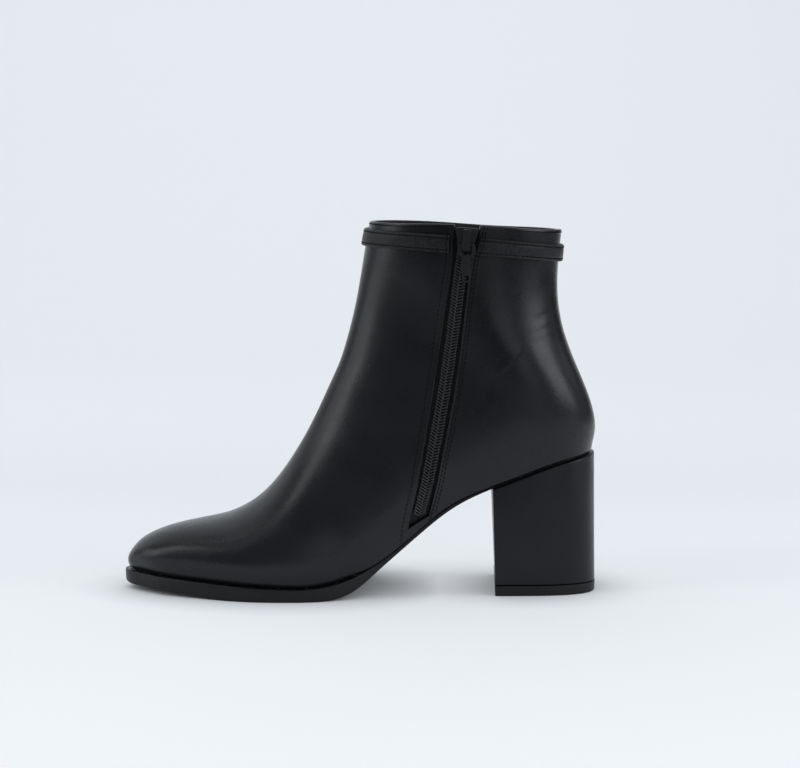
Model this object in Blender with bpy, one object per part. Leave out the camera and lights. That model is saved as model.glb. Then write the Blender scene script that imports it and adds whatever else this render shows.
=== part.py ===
"""Right-foot ankle boot: lasted upper with an inside zip, collar strap, thin sole and block heel.

The toe points to -X, the heel to +X, the inside of the foot (the zip side) to -Y, and the floor is Z = 0.
Sizes are in millimetres and are turned into metres where a mesh is made.
"""

import math

import bmesh
import bpy
import numpy as np
from mathutils import Matrix, Vector

MM = 0.001

# Driving sizes
CENTRE = Vector((-0.2, 0.7, 0.0))  # middle of the boot's box on the floor, moved to the origin
WALL = 2.0  # leather and lining together
GAP = 0.3  # clearance between pieces that meet
TOE_SWING = 2.0  # how far the toe turns towards the inside
SWING_START_X = -20.0
TOE_X = -116.8
RIDGE_LEAN = 3.0  # how far the instep ridge lies towards the inside
LEAN_END = 0.85  # share of the section path where the ridge is back on the centre line

# Sole
LEDGE = 2.6  # how far the sole stands out past the upper at the forepart
SHANK_INSET = 1.3  # how far the sole lies under the upper at shank and seat
LEDGE_END_X, INSET_START_X = -8.0, 13.0
INSOLE_THICK = 2.5
INSOLE_INSET = WALL + 1.0  # from the feather edge to the edge of the insole
SOLE_STATIONS = 56

# Heel
BREAST_TOP_X, BREAST_FOOT_X = 65.6, 67.7
BREAST_SKEW = 1.7  # how much farther back the breast's outside corner lies
HEEL_BACK_FOOT_X = 119.0
HEEL_FOOT_HALF = 26.0
HEEL_SQUARENESS = 3.4  # exponent of the foot's D outline
HEEL_FLARE = 1.3  # how far the heel's top stands out past the upper
TOP_PIECE_THICK = 5.15
HEEL_STATIONS = 18
HEEL_EDGE, TOP_PIECE_EDGE = 0.9, 0.4  # rounding of their edges

# Zip
ZIP_TOP_X, ZIP_TOP_Z = 52.9, 184.6
ZIP_RAKE = 0.152  # how far the zip line runs to the toe for each millimetre down
SLIT_HALF = 4.85
ZIP_BOW, SLIT_BOW = 1.25, 0.6  # how far the zip line bends to the heel half way up, and its slit opens there
BOW_LOW_Z, BOW_HIGH_Z = 44.0, 172.0
FOOT_BEND, FOOT_BEND_Z, FOOT_BEND_LENGTH = 1.2, 60.0, 25.0  # how far its lower end bends to the toe
FRONT_FLARE, REAR_FLARE = 1.25, 1.9  # how much farther the edges stand off where the slider spreads them
FLARE_START_Z, FLARE_END_Z = 167.0, 179.0
TAPE_LAP = 6.0  # tape behind the leather on each side
TAPE_THICK, TAPE_CLEAR = 0.8, 0.45  # its thickness, and its distance from the inside of the wall
TAPE_SPAN = (0.016, 0.992)  # share of the way from feather edge to collar
COIL_HALF = 3.5
COIL_THICK = 1.5
COIL_SPAN = (0.036, 0.985)
ZIP_ROWS, ZIP_COLUMNS = 22, 4

# Strap round the collar
STRAP_TOP_Z, STRAP_FRONT_X = 182.0, 2.0  # its top edge at the front
STRAP_FALL, STRAP_BEND = 0.018, 0.00062  # how it falls towards the back, first gently and then more
STRAP_HEIGHT, STRAP_THICK = 8.6, 1.9
STRAP_FRONT_CLEAR, STRAP_REAR_CLEAR = 1.5, 0.4  # from the strap's ends to the slit
STRAP_COLUMNS = 16
STRAP_SEARCH = (0.7, 1.05)  # sections between which the strap's lines lie
STRAP_PASSES = 6  # rounds in which its ends and its fall are brought together

# Slider and pull tab, in their own frame: across, up the zip, out of the boot
SLIDER_Z = 178.3
SLIDER_LEAN = 4.0  # degrees: the slider stands a little more upright than the raked zip
SLIDER_SHIFT = 0.5  # how far it lies behind the zip's middle
SLIDER_HALF_LENGTH, SLIDER_CROWN_HALF, SLIDER_TAIL_HALF = 5.6, 5.6, 3.6
SLIDER_PLATE, SLIDER_CORNER = 1.3, 1.4
FLANGE_INNER, FLANGE_OUTER, FLANGE_LOW, FLANGE_DROP = 4.1, 4.7, 1.6, 1.3
JOIN = 0.2  # how far one shape runs into the next before they are joined
BRIDGE_HALF, BRIDGE_LOW, BRIDGE_HIGH = 1.8, -4.9, 5.0
BRIDGE_FOOT, BRIDGE_UNDER, BRIDGE_TOP = 0.9, 3.1, 4.0
PIVOT_ACROSS, PIVOT_UP, PIVOT_OUT = 0.35, -2.6, 2.2
TAB_LEAN = 4.0  # degrees: the tab hangs plumb from the leaning slider
TAB_THICK = 0.9
TAB_EYE_HALF, TAB_HOLE_HALF, TAB_HOLE_LENGTH, TAB_SHOULDER = 4.25, 2.35, 4.4, 1.5
TAB_LENGTH, TAB_NECK_HALF, TAB_TIP_HALF = 18.2, 2.3, 1.75
TAB_TIP_HOLE_HALF, TAB_TIP_HOLE_LENGTH, TAB_TIP_BAR = 1.15, 2.2, 1.0

# Upper's mesh, and how finely curves are followed before they are spaced out
FINE_STEPS = 400
MERGE = 1e-7  # metres between points that are one point
SHARP_ANGLE = 40.0  # degrees between faces whose edge is sharp
TOE_ROWS, SHAFT_ROWS, FRONT_COLUMNS, BACK_COLUMNS = 25, 20, 10, 9
TOE_CROWDING = 1.35  # sections lie closer together towards the toe
SLIT_FOOT = 0.024  # share of the way from feather edge to collar where the slit begins
RIB_CROWDING = 1.12  # levels lie closer together towards the feather edge

# Sole seen from the side. Columns: place along the boot, height of the top face, thickness below it
SOLE_LINE = (
    (-119.7, 10.2, 7.2),
    (-94.0, 9.4, 7.3),
    (-66.0, 8.0, 8.1),
    (-42.0, 6.9, 7.2),
    (-21.0, 7.0, 7.0),
    (-3.0, 11.2, 7.4),
    (11.8, 19.0, 3.9),
    (28.0, 32.0, 2.8),
    (45.0, 45.4, 2.4),
    (64.8, 54.9, 1.3),
    (80.0, 60.5, 1.0),
    (97.0, 66.5, 1.0),
    (118.0, 71.0, 1.0),
)

# Sections of the last, from toe to collar. Each runs from a ridge point on the front line to a base point on
# the sole (back_z is None) or on the back line. medial and lateral are half-widths, feather is the half-width
# at the sole as a share of them, widest is where the section is widest on the way from ridge to base, and
# crown narrows the ridge (or fills it out, where negative).
SECTION_COLUMNS = (
    "ridge_x", "ridge_z", "base_x", "back_z", "medial", "lateral", "feather", "widest", "crown",
)
SECTIONS = (
    (-116.8, 10.1, -116.8, None, 0.0, 0.0, 0.95, 0.62, -0.10),
    (-117.9, 14.0, -114.8, None, 5.6, 5.6, 0.95, 0.62, -0.10),
    (-116.2, 19.0, -109.2, None, 11.6, 11.6, 0.95, 0.62, -0.10),
    (-110.6, 25.0, -100.4, None, 19.4, 19.6, 0.95, 0.64, -0.08),
    (-98.0, 30.9, -87.8, None, 26.5, 27.1, 0.95, 0.66, -0.05),
    (-81.0, 34.9, -70.6, None, 33.8, 34.8, 0.945, 0.69, 0.00),
    (-66.0, 38.4, -55.2, None, 39.2, 40.0, 0.94, 0.71, 0.05),
    (-54.0, 44.7, -41.0, None, 41.5, 42.7, 0.93, 0.72, 0.10),
    (-42.6, 55.5, -22.5, None, 41.4, 43.4, 0.915, 0.74, 0.16),
    (-31.2, 71.9, -2.0, None, 37.1, 40.4, 0.85, 0.74, 0.22),
    (-21.5, 90.0, 20.5, None, 33.9, 37.0, 0.80, 0.74, 0.24),
    (-14.2, 105.8, 47.0, None, 32.6, 34.8, 0.80, 0.725, 0.17),
    (-8.4, 119.9, 75.5, None, 32.3, 33.4, 0.845, 0.70, 0.08),
    (-4.6, 133.2, 99.8, None, 32.2, 32.7, 0.735, 0.68, -0.02),
    (-2.1, 144.0, 117.2, None, 32.2, 32.5, 0.0, 0.66, -0.07),
    (-0.3, 153.4, 118.9, 82.0, 32.4, 32.6, 0.0, 0.63, -0.08),
    (1.1, 161.8, 114.6, 100.3, 32.8, 32.8, 0.0, 0.59, -0.06),
    (2.4, 170.2, 105.7, 121.6, 33.1, 33.1, 0.0, 0.545, -0.03),
    (3.6, 177.4, 99.7, 145.0, 33.6, 33.6, 0.0, 0.52, 0.00),
    (5.2, 185.3, 101.0, 181.0, 34.4, 34.4, 0.0, 0.50, 0.00),
)
HEEL_BACK_ROW = 14  # the section whose base is the back end of the sole

# How far each layer of the sole's side lies in from its outline, and its height as a share of the thickness
SOLE_EDGE = ((0.4, 1.0), (0.0, 0.93), (0.0, 0.15), (0.6, 0.0))


# Curves

def natural_spline(knots, values):
    """A smooth cubic through values at knots, as a function."""
    knots = np.asarray(knots, float)
    values = np.asarray(values, float)
    step = np.diff(knots)
    last = len(knots) - 1
    matrix = np.eye(last + 1)
    right = np.zeros_like(values)
    for i in range(1, last):
        matrix[i, i - 1 : i + 2] = step[i - 1], 2 * (step[i - 1] + step[i]), step[i]
        right[i] = 6 * ((values[i + 1] - values[i]) / step[i] - (values[i] - values[i - 1]) / step[i - 1])
    bend = np.linalg.solve(matrix, right)

    def at(where):
        where = np.asarray(where, float)
        i = np.clip(np.searchsorted(knots, where) - 1, 0, last - 1)
        shape = where.shape + (1,) * (values.ndim - 1)
        width = step[i].reshape(shape)
        after = ((where - knots[i]) / step[i]).reshape(shape)
        before = 1 - after
        curve = (before**3 - before) * bend[i] + (after**3 - after) * bend[i + 1]
        return before * values[i] + after * values[i + 1] + curve * width**2 / 6

    return at


def smooth_step(value):
    value = np.clip(value, 0, 1)
    return value * value * (3 - 2 * value)


def bisect(function, low, high, steps=48):
    """Where the function changes from negative to positive, for every entry of two arrays of bounds."""
    low = np.array(low, float)
    high = np.array(high, float)
    for _ in range(steps):
        middle = (low + high) / 2
        below = function(middle) < 0
        low = np.where(below, middle, low)
        high = np.where(below, high, middle)
    return (low + high) / 2


# Sole line and sections of the last

sole_row = natural_spline([row[0] for row in SOLE_LINE], [row[1:] for row in SOLE_LINE])


def sole_top(x):
    return sole_row(x)[..., 0]


def sole_bottom(x):
    """Underside of the sole: flat on the floor under the ball."""
    row = sole_row(x)
    return np.maximum(row[..., 0] - row[..., 1], 0.0)


def full_section(row):
    """Ridge point, keel point and shape of a section completed below the sole to a whole rounded loop."""
    named = dict(zip(SECTION_COLUMNS, row))
    ridge = np.array((named["ridge_x"], named["ridge_z"]))
    base_z = float(sole_top(named["base_x"])) if named["back_z"] is None else named["back_z"]
    base = np.array((named["base_x"], base_z))
    if named["medial"] == 0:
        base = ridge
    reach = named["widest"] + (1 - named["widest"]) / math.sqrt(1 - named["feather"] ** 2)
    keel = ridge + (base - ridge) * reach
    return (*ridge, *keel, named["medial"], named["lateral"], named["widest"] / reach, named["crown"])


def section_path(rows):
    """Place of each section along the last, from 0 at the toe to 1 at the collar."""
    moves = np.diff(np.array(rows)[:, :4], axis=0)
    lengths = (np.hypot(moves[:, 0], moves[:, 1]) + np.hypot(moves[:, 2], moves[:, 3])) / 2
    places = np.concatenate([[0], np.cumsum(lengths)])
    return places / places[-1]


FULL_SECTIONS = [full_section(row) for row in SECTIONS]
PLACES = section_path(FULL_SECTIONS)
HEEL_BACK = PLACES[HEEL_BACK_ROW]
section_at = natural_spline(PLACES, FULL_SECTIONS)


def side_point(place, angle):
    """x and z of a point of the last: angle 0 is the ridge, half a turn is the keel."""
    row = section_at(place)
    middle = row[..., 6]
    depth = np.where(angle <= np.pi / 2, middle * (1 - np.cos(angle)), middle - (1 - middle) * np.cos(angle))
    x = row[..., 0] + (row[..., 2] - row[..., 0]) * depth
    z = row[..., 1] + (row[..., 3] - row[..., 1]) * depth
    return x, z


def last_point(place, angle, side):
    """A point of the last's surface; side is -1 on the inside of the foot and 1 on the outside."""
    place, angle = np.broadcast_arrays(np.asarray(place, float), np.asarray(angle, float))
    row = section_at(place)
    x, z = side_point(place, angle)
    upper_half = np.where(angle <= np.pi / 2, np.cos(angle) ** 2, 0)
    half = np.where(np.asarray(side) < 0, row[..., 4], row[..., 5])
    swing = -TOE_SWING * smooth_step((SWING_START_X - x) / (SWING_START_X - TOE_X))
    lean = -RIDGE_LEAN * np.sin(np.pi * np.clip(place / LEAN_END, 0, 1)) * upper_half
    y = swing + lean + side * half * np.sin(angle) * (1 - row[..., 7] * upper_half)
    return np.stack([x, y, z], axis=-1)


def last_normal(place, angle, side):
    """The outward direction there."""
    step = 1e-4
    along = last_point(place + step, angle, side) - last_point(place - step, angle, side)
    round_it = last_point(place, angle + step, side) - last_point(place, angle - step, side)
    normal = np.cross(along, round_it) * np.asarray(side)[..., None]
    return normal / np.linalg.norm(normal, axis=-1, keepdims=True)


def offset_point(place, angle, side, out):
    return last_point(place, angle, side) + np.asarray(out)[..., None] * last_normal(place, angle, side)


def feather_angle(place):
    """Angle where the last meets the sole, or half a turn above the sole's back end."""
    place = np.asarray(place, float)

    def depth(angle):
        x, z = side_point(place, angle)
        return sole_top(x) - z

    found = bisect(depth, np.full(place.shape, np.pi / 2), np.full(place.shape, np.pi))
    return np.where(place >= HEEL_BACK, np.pi, found)


# Zip line

def zip_bow(z):
    """0 at the ends of the zip, 1 half way up."""
    return np.sin(np.pi * np.clip((z - BOW_LOW_Z) / (BOW_HIGH_Z - BOW_LOW_Z), 0, 1)) ** 2


def zip_x(z):
    bend = ZIP_BOW * zip_bow(z) - FOOT_BEND * smooth_step((FOOT_BEND_Z - z) / FOOT_BEND_LENGTH)
    return ZIP_TOP_X - ZIP_RAKE * (ZIP_TOP_Z - z) + bend


def slit_spread(z):
    """Share of the flare that the slit's edges have reached at this height."""
    return smooth_step((z - FLARE_START_Z) / (FLARE_END_Z - FLARE_START_Z))


def slit_rear(z):
    return SLIT_HALF + SLIT_BOW * zip_bow(z) + REAR_FLARE * slit_spread(z)


def slit_front(z):
    return -SLIT_HALF - SLIT_BOW * zip_bow(z) - FRONT_FLARE * slit_spread(z)


def zip_angle(place, across):
    """Angle at which a section meets the line that lies this far behind the zip's middle.

    The distance is a number, or a function of the height.
    """
    place = np.asarray(place, float)

    def ahead(angle):
        x, z = side_point(place, angle)
        return x - zip_x(z) - (across(z) if callable(across) else across)

    return bisect(ahead, np.zeros(place.shape), feather_angle(place))


def zip_foot(across):
    """Section on whose feather edge that line ends."""

    def ahead(place):
        x, z = side_point(place, feather_angle(place))
        return x - zip_x(z) - across

    return float(bisect(ahead, 0.0, HEEL_BACK))


# Mesh tools

def new_object(name, points, faces, material):
    """A mesh object from points in millimetres, with its doubled points merged and its faces pointing out."""
    mesh = bpy.data.meshes.new(name)
    mesh.from_pydata([(Vector(point) - CENTRE) * MM for point in points], [], faces)
    obj = bpy.data.objects.new(name, mesh)
    bpy.context.scene.collection.objects.link(obj)
    mesh.materials.append(material)
    work = bmesh.new()
    work.from_mesh(mesh)
    bmesh.ops.remove_doubles(work, verts=work.verts, dist=MERGE)
    bmesh.ops.dissolve_degenerate(work, edges=work.edges, dist=MERGE)
    if all(edge.is_manifold for edge in work.edges):
        bmesh.ops.recalc_face_normals(work, faces=work.faces)
    work.to_mesh(mesh)
    work.free()
    mesh.shade_smooth()
    mesh.set_sharp_from_angle(angle=math.radians(SHARP_ANGLE))
    return obj


def thicken(obj, thickness, outward):
    """Gives a sheet its thickness, on its outer or inner side."""
    solid = obj.modifiers.new("Thickness", "SOLIDIFY")
    solid.thickness = thickness * MM
    solid.offset = 1 if outward else -1
    solid.use_even_offset = True
    solid.use_quality_normals = True


def soften(obj, width):
    """Rounds an object's sharp edges."""
    bevel = obj.modifiers.new("Edges", "BEVEL")
    bevel.width = width * MM
    bevel.segments = 2
    bevel.limit_method = "ANGLE"
    bevel.angle_limit = math.radians(SHARP_ANGLE)


def grid_faces(rows, columns, first=0):
    """Quads of a grid whose points run along its rows."""
    faces = []
    for i in range(rows - 1):
        for j in range(columns - 1):
            a = first + i * columns + j
            faces.append((a, a + 1, a + columns + 1, a + columns))
    return faces


def sheet(name, points, material):
    """A sheet from a grid of points, rows by columns."""
    rows, columns = points.shape[:2]
    return new_object(name, points.reshape(-1, 3), grid_faces(rows, columns), material)


def stacked_plate(name, layers, material):
    """A closed solid from layers, top first, each a row of inside points and a row of outside points."""
    count = len(layers[0][0])
    points = [point for layer in layers for rim in layer for point in rim]
    faces = []
    for side in (0, 1):
        for level in range(len(layers) - 1):
            upper_rim = (2 * level + side) * count
            lower_rim = (2 * (level + 1) + side) * count
            for i in range(count - 1):
                faces.append((upper_rim + i, upper_rim + i + 1, lower_rim + i + 1, lower_rim + i))
    for level in (0, len(layers) - 1):
        inside, outside = 2 * level * count, (2 * level + 1) * count
        for i in range(count - 1):
            faces.append((inside + i, inside + i + 1, outside + i + 1, outside + i))
    if (Vector(layers[0][0][0]) - Vector(layers[0][1][0])).length > GAP:
        for level in range(len(layers) - 1):
            above, below = 2 * level * count, 2 * (level + 1) * count
            faces.append((above, above + count, below + count, below))
    return new_object(name, points, faces, material)


def make_material(name, colour, roughness, metallic=0.0):
    material = bpy.data.materials.new(name)
    material.use_nodes = True
    shader = material.node_tree.nodes["Principled BSDF"]
    shader.inputs["Base Color"].default_value = (*colour, 1.0)
    shader.inputs["Roughness"].default_value = roughness
    shader.inputs["Metallic"].default_value = metallic
    return material


# Upper

def shaft_levels():
    """Shares of the way from feather edge to collar at which the rows beside the zip lie."""
    return np.concatenate([[0.0], np.linspace(SLIT_FOOT, 1, SHAFT_ROWS)])


def back_ribs():
    """Places and angles of the ribs from the slit's rear edge to the back line, each from sole to collar."""
    start = zip_foot(SLIT_HALF)
    fine = start + (HEEL_BACK - start) * np.sin(np.linspace(0, np.pi / 2, FINE_STEPS))
    trail = last_point(fine, feather_angle(fine), -1)
    run = np.concatenate([[0], np.cumsum(np.linalg.norm(np.diff(trail, axis=0), axis=1))])
    share = np.linspace(0, 1, BACK_COLUMNS)[:, None]
    foot = np.interp(share * run[-1], run, fine)
    level = shaft_levels()[None, :] ** RIB_CROWDING
    places = foot + (1 - foot) * level
    front = zip_angle(start + (1 - start) * level, slit_rear)
    bottom = feather_angle(foot)
    top = front[0, -1] + (np.pi - front[0, -1]) * share
    corners = (1 - share) * ((1 - level) * bottom[0] + level * top[0]) + share * np.pi
    angles = (1 - share) * front + share * np.pi + (1 - level) * bottom + level * top - corners
    return places, np.minimum(angles, np.pi)


def make_upper(material):
    """One hollow wall: sections from toe to collar in front of the zip, ribs round the heel behind it."""
    corner = zip_foot(-SLIT_HALF)
    toe_places = corner * (np.arange(1, TOE_ROWS + 1) / TOE_ROWS) ** TOE_CROWDING
    shaft_places = corner + (1 - corner) * shaft_levels()[1:]
    edges = np.concatenate([feather_angle(toe_places), zip_angle(shaft_places, slit_front)])
    places = np.concatenate([toe_places, shaft_places])
    columns = np.arange(-FRONT_COLUMNS, FRONT_COLUMNS + 1)
    side = np.where(columns < 0, -1, 1)
    front = last_point(places[:, None], edges[:, None] * np.abs(columns) / FRONT_COLUMNS, side[None, :])
    points = [last_point(0.0, 0.0, 1), *front.reshape(-1, 3)]
    width = len(columns)
    faces = [(0, 1 + j, 2 + j) for j in range(width - 1)]
    faces += [face[::-1] for face in grid_faces(len(places), width, 1)]

    def front_edge(row, column):
        return 1 + (TOE_ROWS - 1 + row) * width + column

    rib_places, rib_angles = back_ribs()
    ribs = [[front_edge(row, 0) for row in range(SHAFT_ROWS + 1)]]
    order = [(r, -1) for r in range(BACK_COLUMNS)] + [(r, 1) for r in reversed(range(BACK_COLUMNS - 1))]
    for rib, rib_side in order:
        ribs.append(list(range(len(points), len(points) + SHAFT_ROWS + 1)))
        points += list(last_point(rib_places[rib], rib_angles[rib], rib_side))
    ribs.append([front_edge(row, width - 1) for row in range(SHAFT_ROWS + 1)])
    for r in range(len(ribs) - 1):
        for row in range(SHAFT_ROWS):
            below_slit = row == 0
            if r > 0 or below_slit:
                faces.append((ribs[r][row], ribs[r][row + 1], ribs[r + 1][row + 1], ribs[r + 1][row])[::-1])
    upper = new_object("upper", points, faces, material)
    thicken(upper, WALL, outward=False)
    return upper


# Sole pieces

def feather_rims(out, places):
    """Inside and outside rows of plan points that lie this far out from the feather edge."""
    angles = feather_angle(places)
    inside = last_point(places, angles, -1)
    outside = last_point(places, angles, 1)
    loop = np.concatenate([inside, outside[::-1]])
    ahead, behind = np.roll(loop, -1, axis=0), np.roll(loop, 1, axis=0)
    ahead[-1], behind[0] = loop[1], loop[-2]
    ahead[len(inside) - 1], behind[len(inside)] = loop[len(inside) + 1], loop[len(inside) - 2]
    tangent = (ahead - behind)[:, :2]
    normal = np.stack([tangent[:, 1], -tangent[:, 0]], axis=1)
    normal /= np.linalg.norm(normal, axis=1, keepdims=True)
    distance = out(loop[:, 0]) if callable(out) else np.full(len(loop), out)
    loop[:, :2] += normal * distance[:, None]
    return loop[: len(inside)], loop[len(inside) :][::-1]


def whole_places(count):
    """Places along the whole feather edge, closer together at the toe and at the back."""
    return HEEL_BACK * np.sin(np.pi / 2 * np.linspace(0, 1, count) ** TOE_CROWDING)


def with_height(rim, height):
    rim = rim.copy()
    rim[:, 2] = height(rim[:, 0])
    return rim


def sole_ledge(x):
    return LEDGE - (LEDGE + SHANK_INSET) * smooth_step((x - LEDGE_END_X) / (INSET_START_X - LEDGE_END_X))


def make_outsole(material):
    layers = []
    for inset, share in SOLE_EDGE:
        rims = feather_rims(lambda x: sole_ledge(x) - inset, whole_places(SOLE_STATIONS))

        def height(x):
            return sole_bottom(x) + (sole_top(x) - GAP - sole_bottom(x)) * share

        layers.append([with_height(rim, height) for rim in rims])
    return stacked_plate("outsole", layers, material)


def make_insole(material):
    rims = feather_rims(-INSOLE_INSET, whole_places(SOLE_STATIONS))
    layers = [[with_height(rim, lambda x: sole_top(x) + rise) for rim in rims]
              for rise in (INSOLE_THICK, 0.0)]
    return stacked_plate("insole", layers, material)


# Heel

def spaced(rim, count):
    """The same row of points, evenly spaced along its length."""
    run = np.concatenate([[0], np.cumsum(np.linalg.norm(np.diff(rim[:, :2], axis=0), axis=1))])
    where = np.linspace(0, run[-1], count)
    return np.stack([np.interp(where, run, rim[:, axis]) for axis in range(3)], axis=1)


def heel_seat_rims():
    """Inside and outside edges of the heel's top, from its breast to its back."""
    rims = feather_rims(HEEL_FLARE, whole_places(FINE_STEPS))
    corners = (BREAST_TOP_X, BREAST_TOP_X + BREAST_SKEW)
    return [spaced(rim[rim[:, 0] > corner], HEEL_STATIONS) for rim, corner in zip(rims, corners)]


def heel_foot_rims():
    """Inside and outside edges of the heel's foot: a D with a flat front."""
    turn = np.linspace(0, np.pi / 2, FINE_STEPS)
    rims = []
    for side, corner in ((-1, BREAST_FOOT_X), (1, BREAST_FOOT_X + BREAST_SKEW)):
        x = corner + (HEEL_BACK_FOOT_X - corner) * np.sin(turn) ** (2 / HEEL_SQUARENESS)
        half = HEEL_FOOT_HALF * np.abs(np.cos(turn)) ** (2 / HEEL_SQUARENESS)
        half[-1] = 0.0
        rims.append(spaced(np.stack([x, side * half, np.zeros_like(x)], axis=1), HEEL_STATIONS))
    return rims


def make_heel(material):
    seat = [with_height(rim, lambda x: sole_bottom(x) - GAP) for rim in heel_seat_rims()]
    foot = [with_height(rim, lambda x: np.full_like(x, TOP_PIECE_THICK + GAP)) for rim in heel_foot_rims()]
    heel = stacked_plate("heel", [seat, foot], material)
    soften(heel, HEEL_EDGE)
    return heel


def make_top_piece(material):
    layers = [[with_height(rim, lambda x: np.full_like(x, z)) for rim in heel_foot_rims()]
              for z in (TOP_PIECE_THICK, 0.0)]
    piece = stacked_plate("heel_top_piece", layers, material)
    soften(piece, TOP_PIECE_EDGE)
    return piece


# Strap

def strap_row(drop):
    """Places, angles and sides of a line round the collar, this far below the strap's top edge."""
    turn = np.linspace(0, 1, STRAP_COLUMNS)
    inside, outside = -np.ones(STRAP_COLUMNS), np.ones(2 * STRAP_COLUMNS - 2)
    side = np.concatenate([inside, outside, inside[1:]])
    place = np.ones(len(side))
    for _ in range(STRAP_PASSES):
        ends = place[[0, -1]]
        front = zip_angle(ends[0], lambda z: slit_front(z) - STRAP_FRONT_CLEAR)
        rear = zip_angle(ends[1], lambda z: slit_rear(z) + STRAP_REAR_CLEAR)
        outer = np.linspace(0, np.pi, 2 * STRAP_COLUMNS - 1)[1:]
        angle = np.concatenate([front * (1 - turn), outer, np.pi + (rear - np.pi) * turn[1:]])

        def below_line(where):
            x, z = side_point(where, angle)
            back = x - STRAP_FRONT_X
            return z - (STRAP_TOP_Z - drop - STRAP_FALL * back - STRAP_BEND * back**2)

        place = bisect(below_line, *(np.full(len(side), end) for end in STRAP_SEARCH))
    return place, angle, side


def make_strap(material):
    rows = []
    for drop in (0.0, STRAP_HEIGHT / 2, STRAP_HEIGHT):
        place, angle, side = strap_row(drop)
        rows.append(offset_point(place, angle, side, np.full(len(side), GAP)))
    strap = sheet("collar_strap", np.array(rows), material)
    thicken(strap, STRAP_THICK, outward=True)
    return strap


# Zip

def zip_strip(name, first, last, out, span, material):
    """A sheet along the zip between two lines across it, this far out from the upper's face."""
    columns = []
    for across in np.linspace(first, last, ZIP_COLUMNS):
        foot = zip_foot(across)
        place = foot + (1 - foot) * np.linspace(*span, ZIP_ROWS)
        angle = zip_angle(place, across)
        side = np.full(ZIP_ROWS, -1.0)
        columns.append(offset_point(place, angle, side, np.full(ZIP_ROWS, out)))
    return sheet(name, np.array(columns[::-1]), material)


def make_zip_tapes(material):
    for name, sign in (("zip_tape_front", -1), ("zip_tape_rear", 1)):
        ends = sorted((sign * (SLIT_HALF + TAPE_LAP), sign * GAP / 2))
        tape = zip_strip(name, *ends, -(WALL + TAPE_CLEAR), TAPE_SPAN, material)
        thicken(tape, TAPE_THICK, outward=False)


def make_zip_coils(material):
    for name, sign in (("zip_coil_front", -1), ("zip_coil_rear", 1)):
        ends = sorted((sign * COIL_HALF, sign * GAP / 2))
        coil = zip_strip(name, *ends, -WALL, COIL_SPAN, material)
        thicken(coil, COIL_THICK, outward=True)


def slider_frame():
    """Placing matrix of the slider: across, up the zip and out, with its origin on the coil's face."""

    def below(place):
        return side_point(place, zip_angle(place, 0.0))[1] - SLIDER_Z

    place = bisect(below, *(np.array([end]) for end in STRAP_SEARCH))
    side = np.array([-1.0])
    step = 0.01
    ends = [last_point(where, zip_angle(where, 0.0), side)[0] for where in (place - step, place + step)]
    out = last_normal(place, zip_angle(place, 0.0), side)[0]
    up = ends[1] - ends[0]
    up -= out * np.dot(up, out)
    up /= np.linalg.norm(up)
    across = np.cross(up, out)
    origin = last_point(place, zip_angle(place, 0.0), side)[0] + out * (COIL_THICK - WALL + GAP)
    frame = Matrix.Identity(4)
    for column, axis in enumerate((across, up, out)):
        frame.col[column][:3] = axis
    frame.translation = (Vector(origin) - CENTRE) * MM
    shift = Matrix.Translation((SLIDER_SHIFT * MM, 0, 0))
    return frame @ shift @ Matrix.Rotation(math.radians(SLIDER_LEAN), 4, "Z")


def prism(name, outline, low, high, material, frame):
    """A solid between two heights over an outline given across and up the zip, placed by the frame."""
    count = len(outline)
    points = [(*point, height) for height in (low, high) for point in outline]
    faces = [tuple(reversed(range(count))), tuple(range(count, 2 * count))]
    faces += [(i, (i + 1) % count, count + (i + 1) % count, count + i) for i in range(count)]
    obj = new_object(name, [Vector(point) + CENTRE for point in points], faces, material)
    obj.matrix_world = frame
    return obj


def join_or_cut(target, other, operation):
    """Adds a helper solid to a piece or cuts it away."""
    boolean = target.modifiers.new(other.name, "BOOLEAN")
    boolean.operation = operation
    boolean.solver = "EXACT"
    boolean.object = other
    other.hide_render = True
    other.display_type = "WIRE"


def box_outline(half, low, high):
    return [(-half, low), (half, low), (half, high), (-half, high)]


def make_slider(material, frame):
    crown, tail, length = SLIDER_CROWN_HALF, SLIDER_TAIL_HALF, SLIDER_HALF_LENGTH
    chamfer = SLIDER_CORNER
    outline = [(-tail + chamfer, -length), (tail - chamfer, -length), (tail, -length + chamfer),
               (crown, length - chamfer), (crown - chamfer, length), (-crown + chamfer, length),
               (-crown, length - chamfer), (-tail, -length + chamfer)]
    slider = prism("zip_slider", outline, 0.0, SLIDER_PLATE, material, frame)
    for name, sign in (("flange_front", -1), ("flange_rear", 1)):
        inner, outer = sign * FLANGE_INNER, sign * FLANGE_OUTER
        flange_outline = [(inner, FLANGE_LOW), (outer, FLANGE_LOW), (outer, length - chamfer),
                          (inner, length - chamfer)]
        flange = prism(name, flange_outline[::sign], -FLANGE_DROP, JOIN, material, frame)
        join_or_cut(slider, flange, "UNION")
    bridge_outline = box_outline(BRIDGE_HALF, BRIDGE_LOW, BRIDGE_HIGH)
    bridge = prism("bridge", bridge_outline, SLIDER_PLATE - JOIN, BRIDGE_TOP, material, frame)
    opening_outline = box_outline(2 * BRIDGE_HALF, BRIDGE_LOW + BRIDGE_FOOT, BRIDGE_HIGH - BRIDGE_FOOT)
    opening = prism("bridge_opening", opening_outline, SLIDER_PLATE, BRIDGE_UNDER, material, frame)
    join_or_cut(slider, bridge, "UNION")
    join_or_cut(slider, opening, "DIFFERENCE")
    return slider


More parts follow.
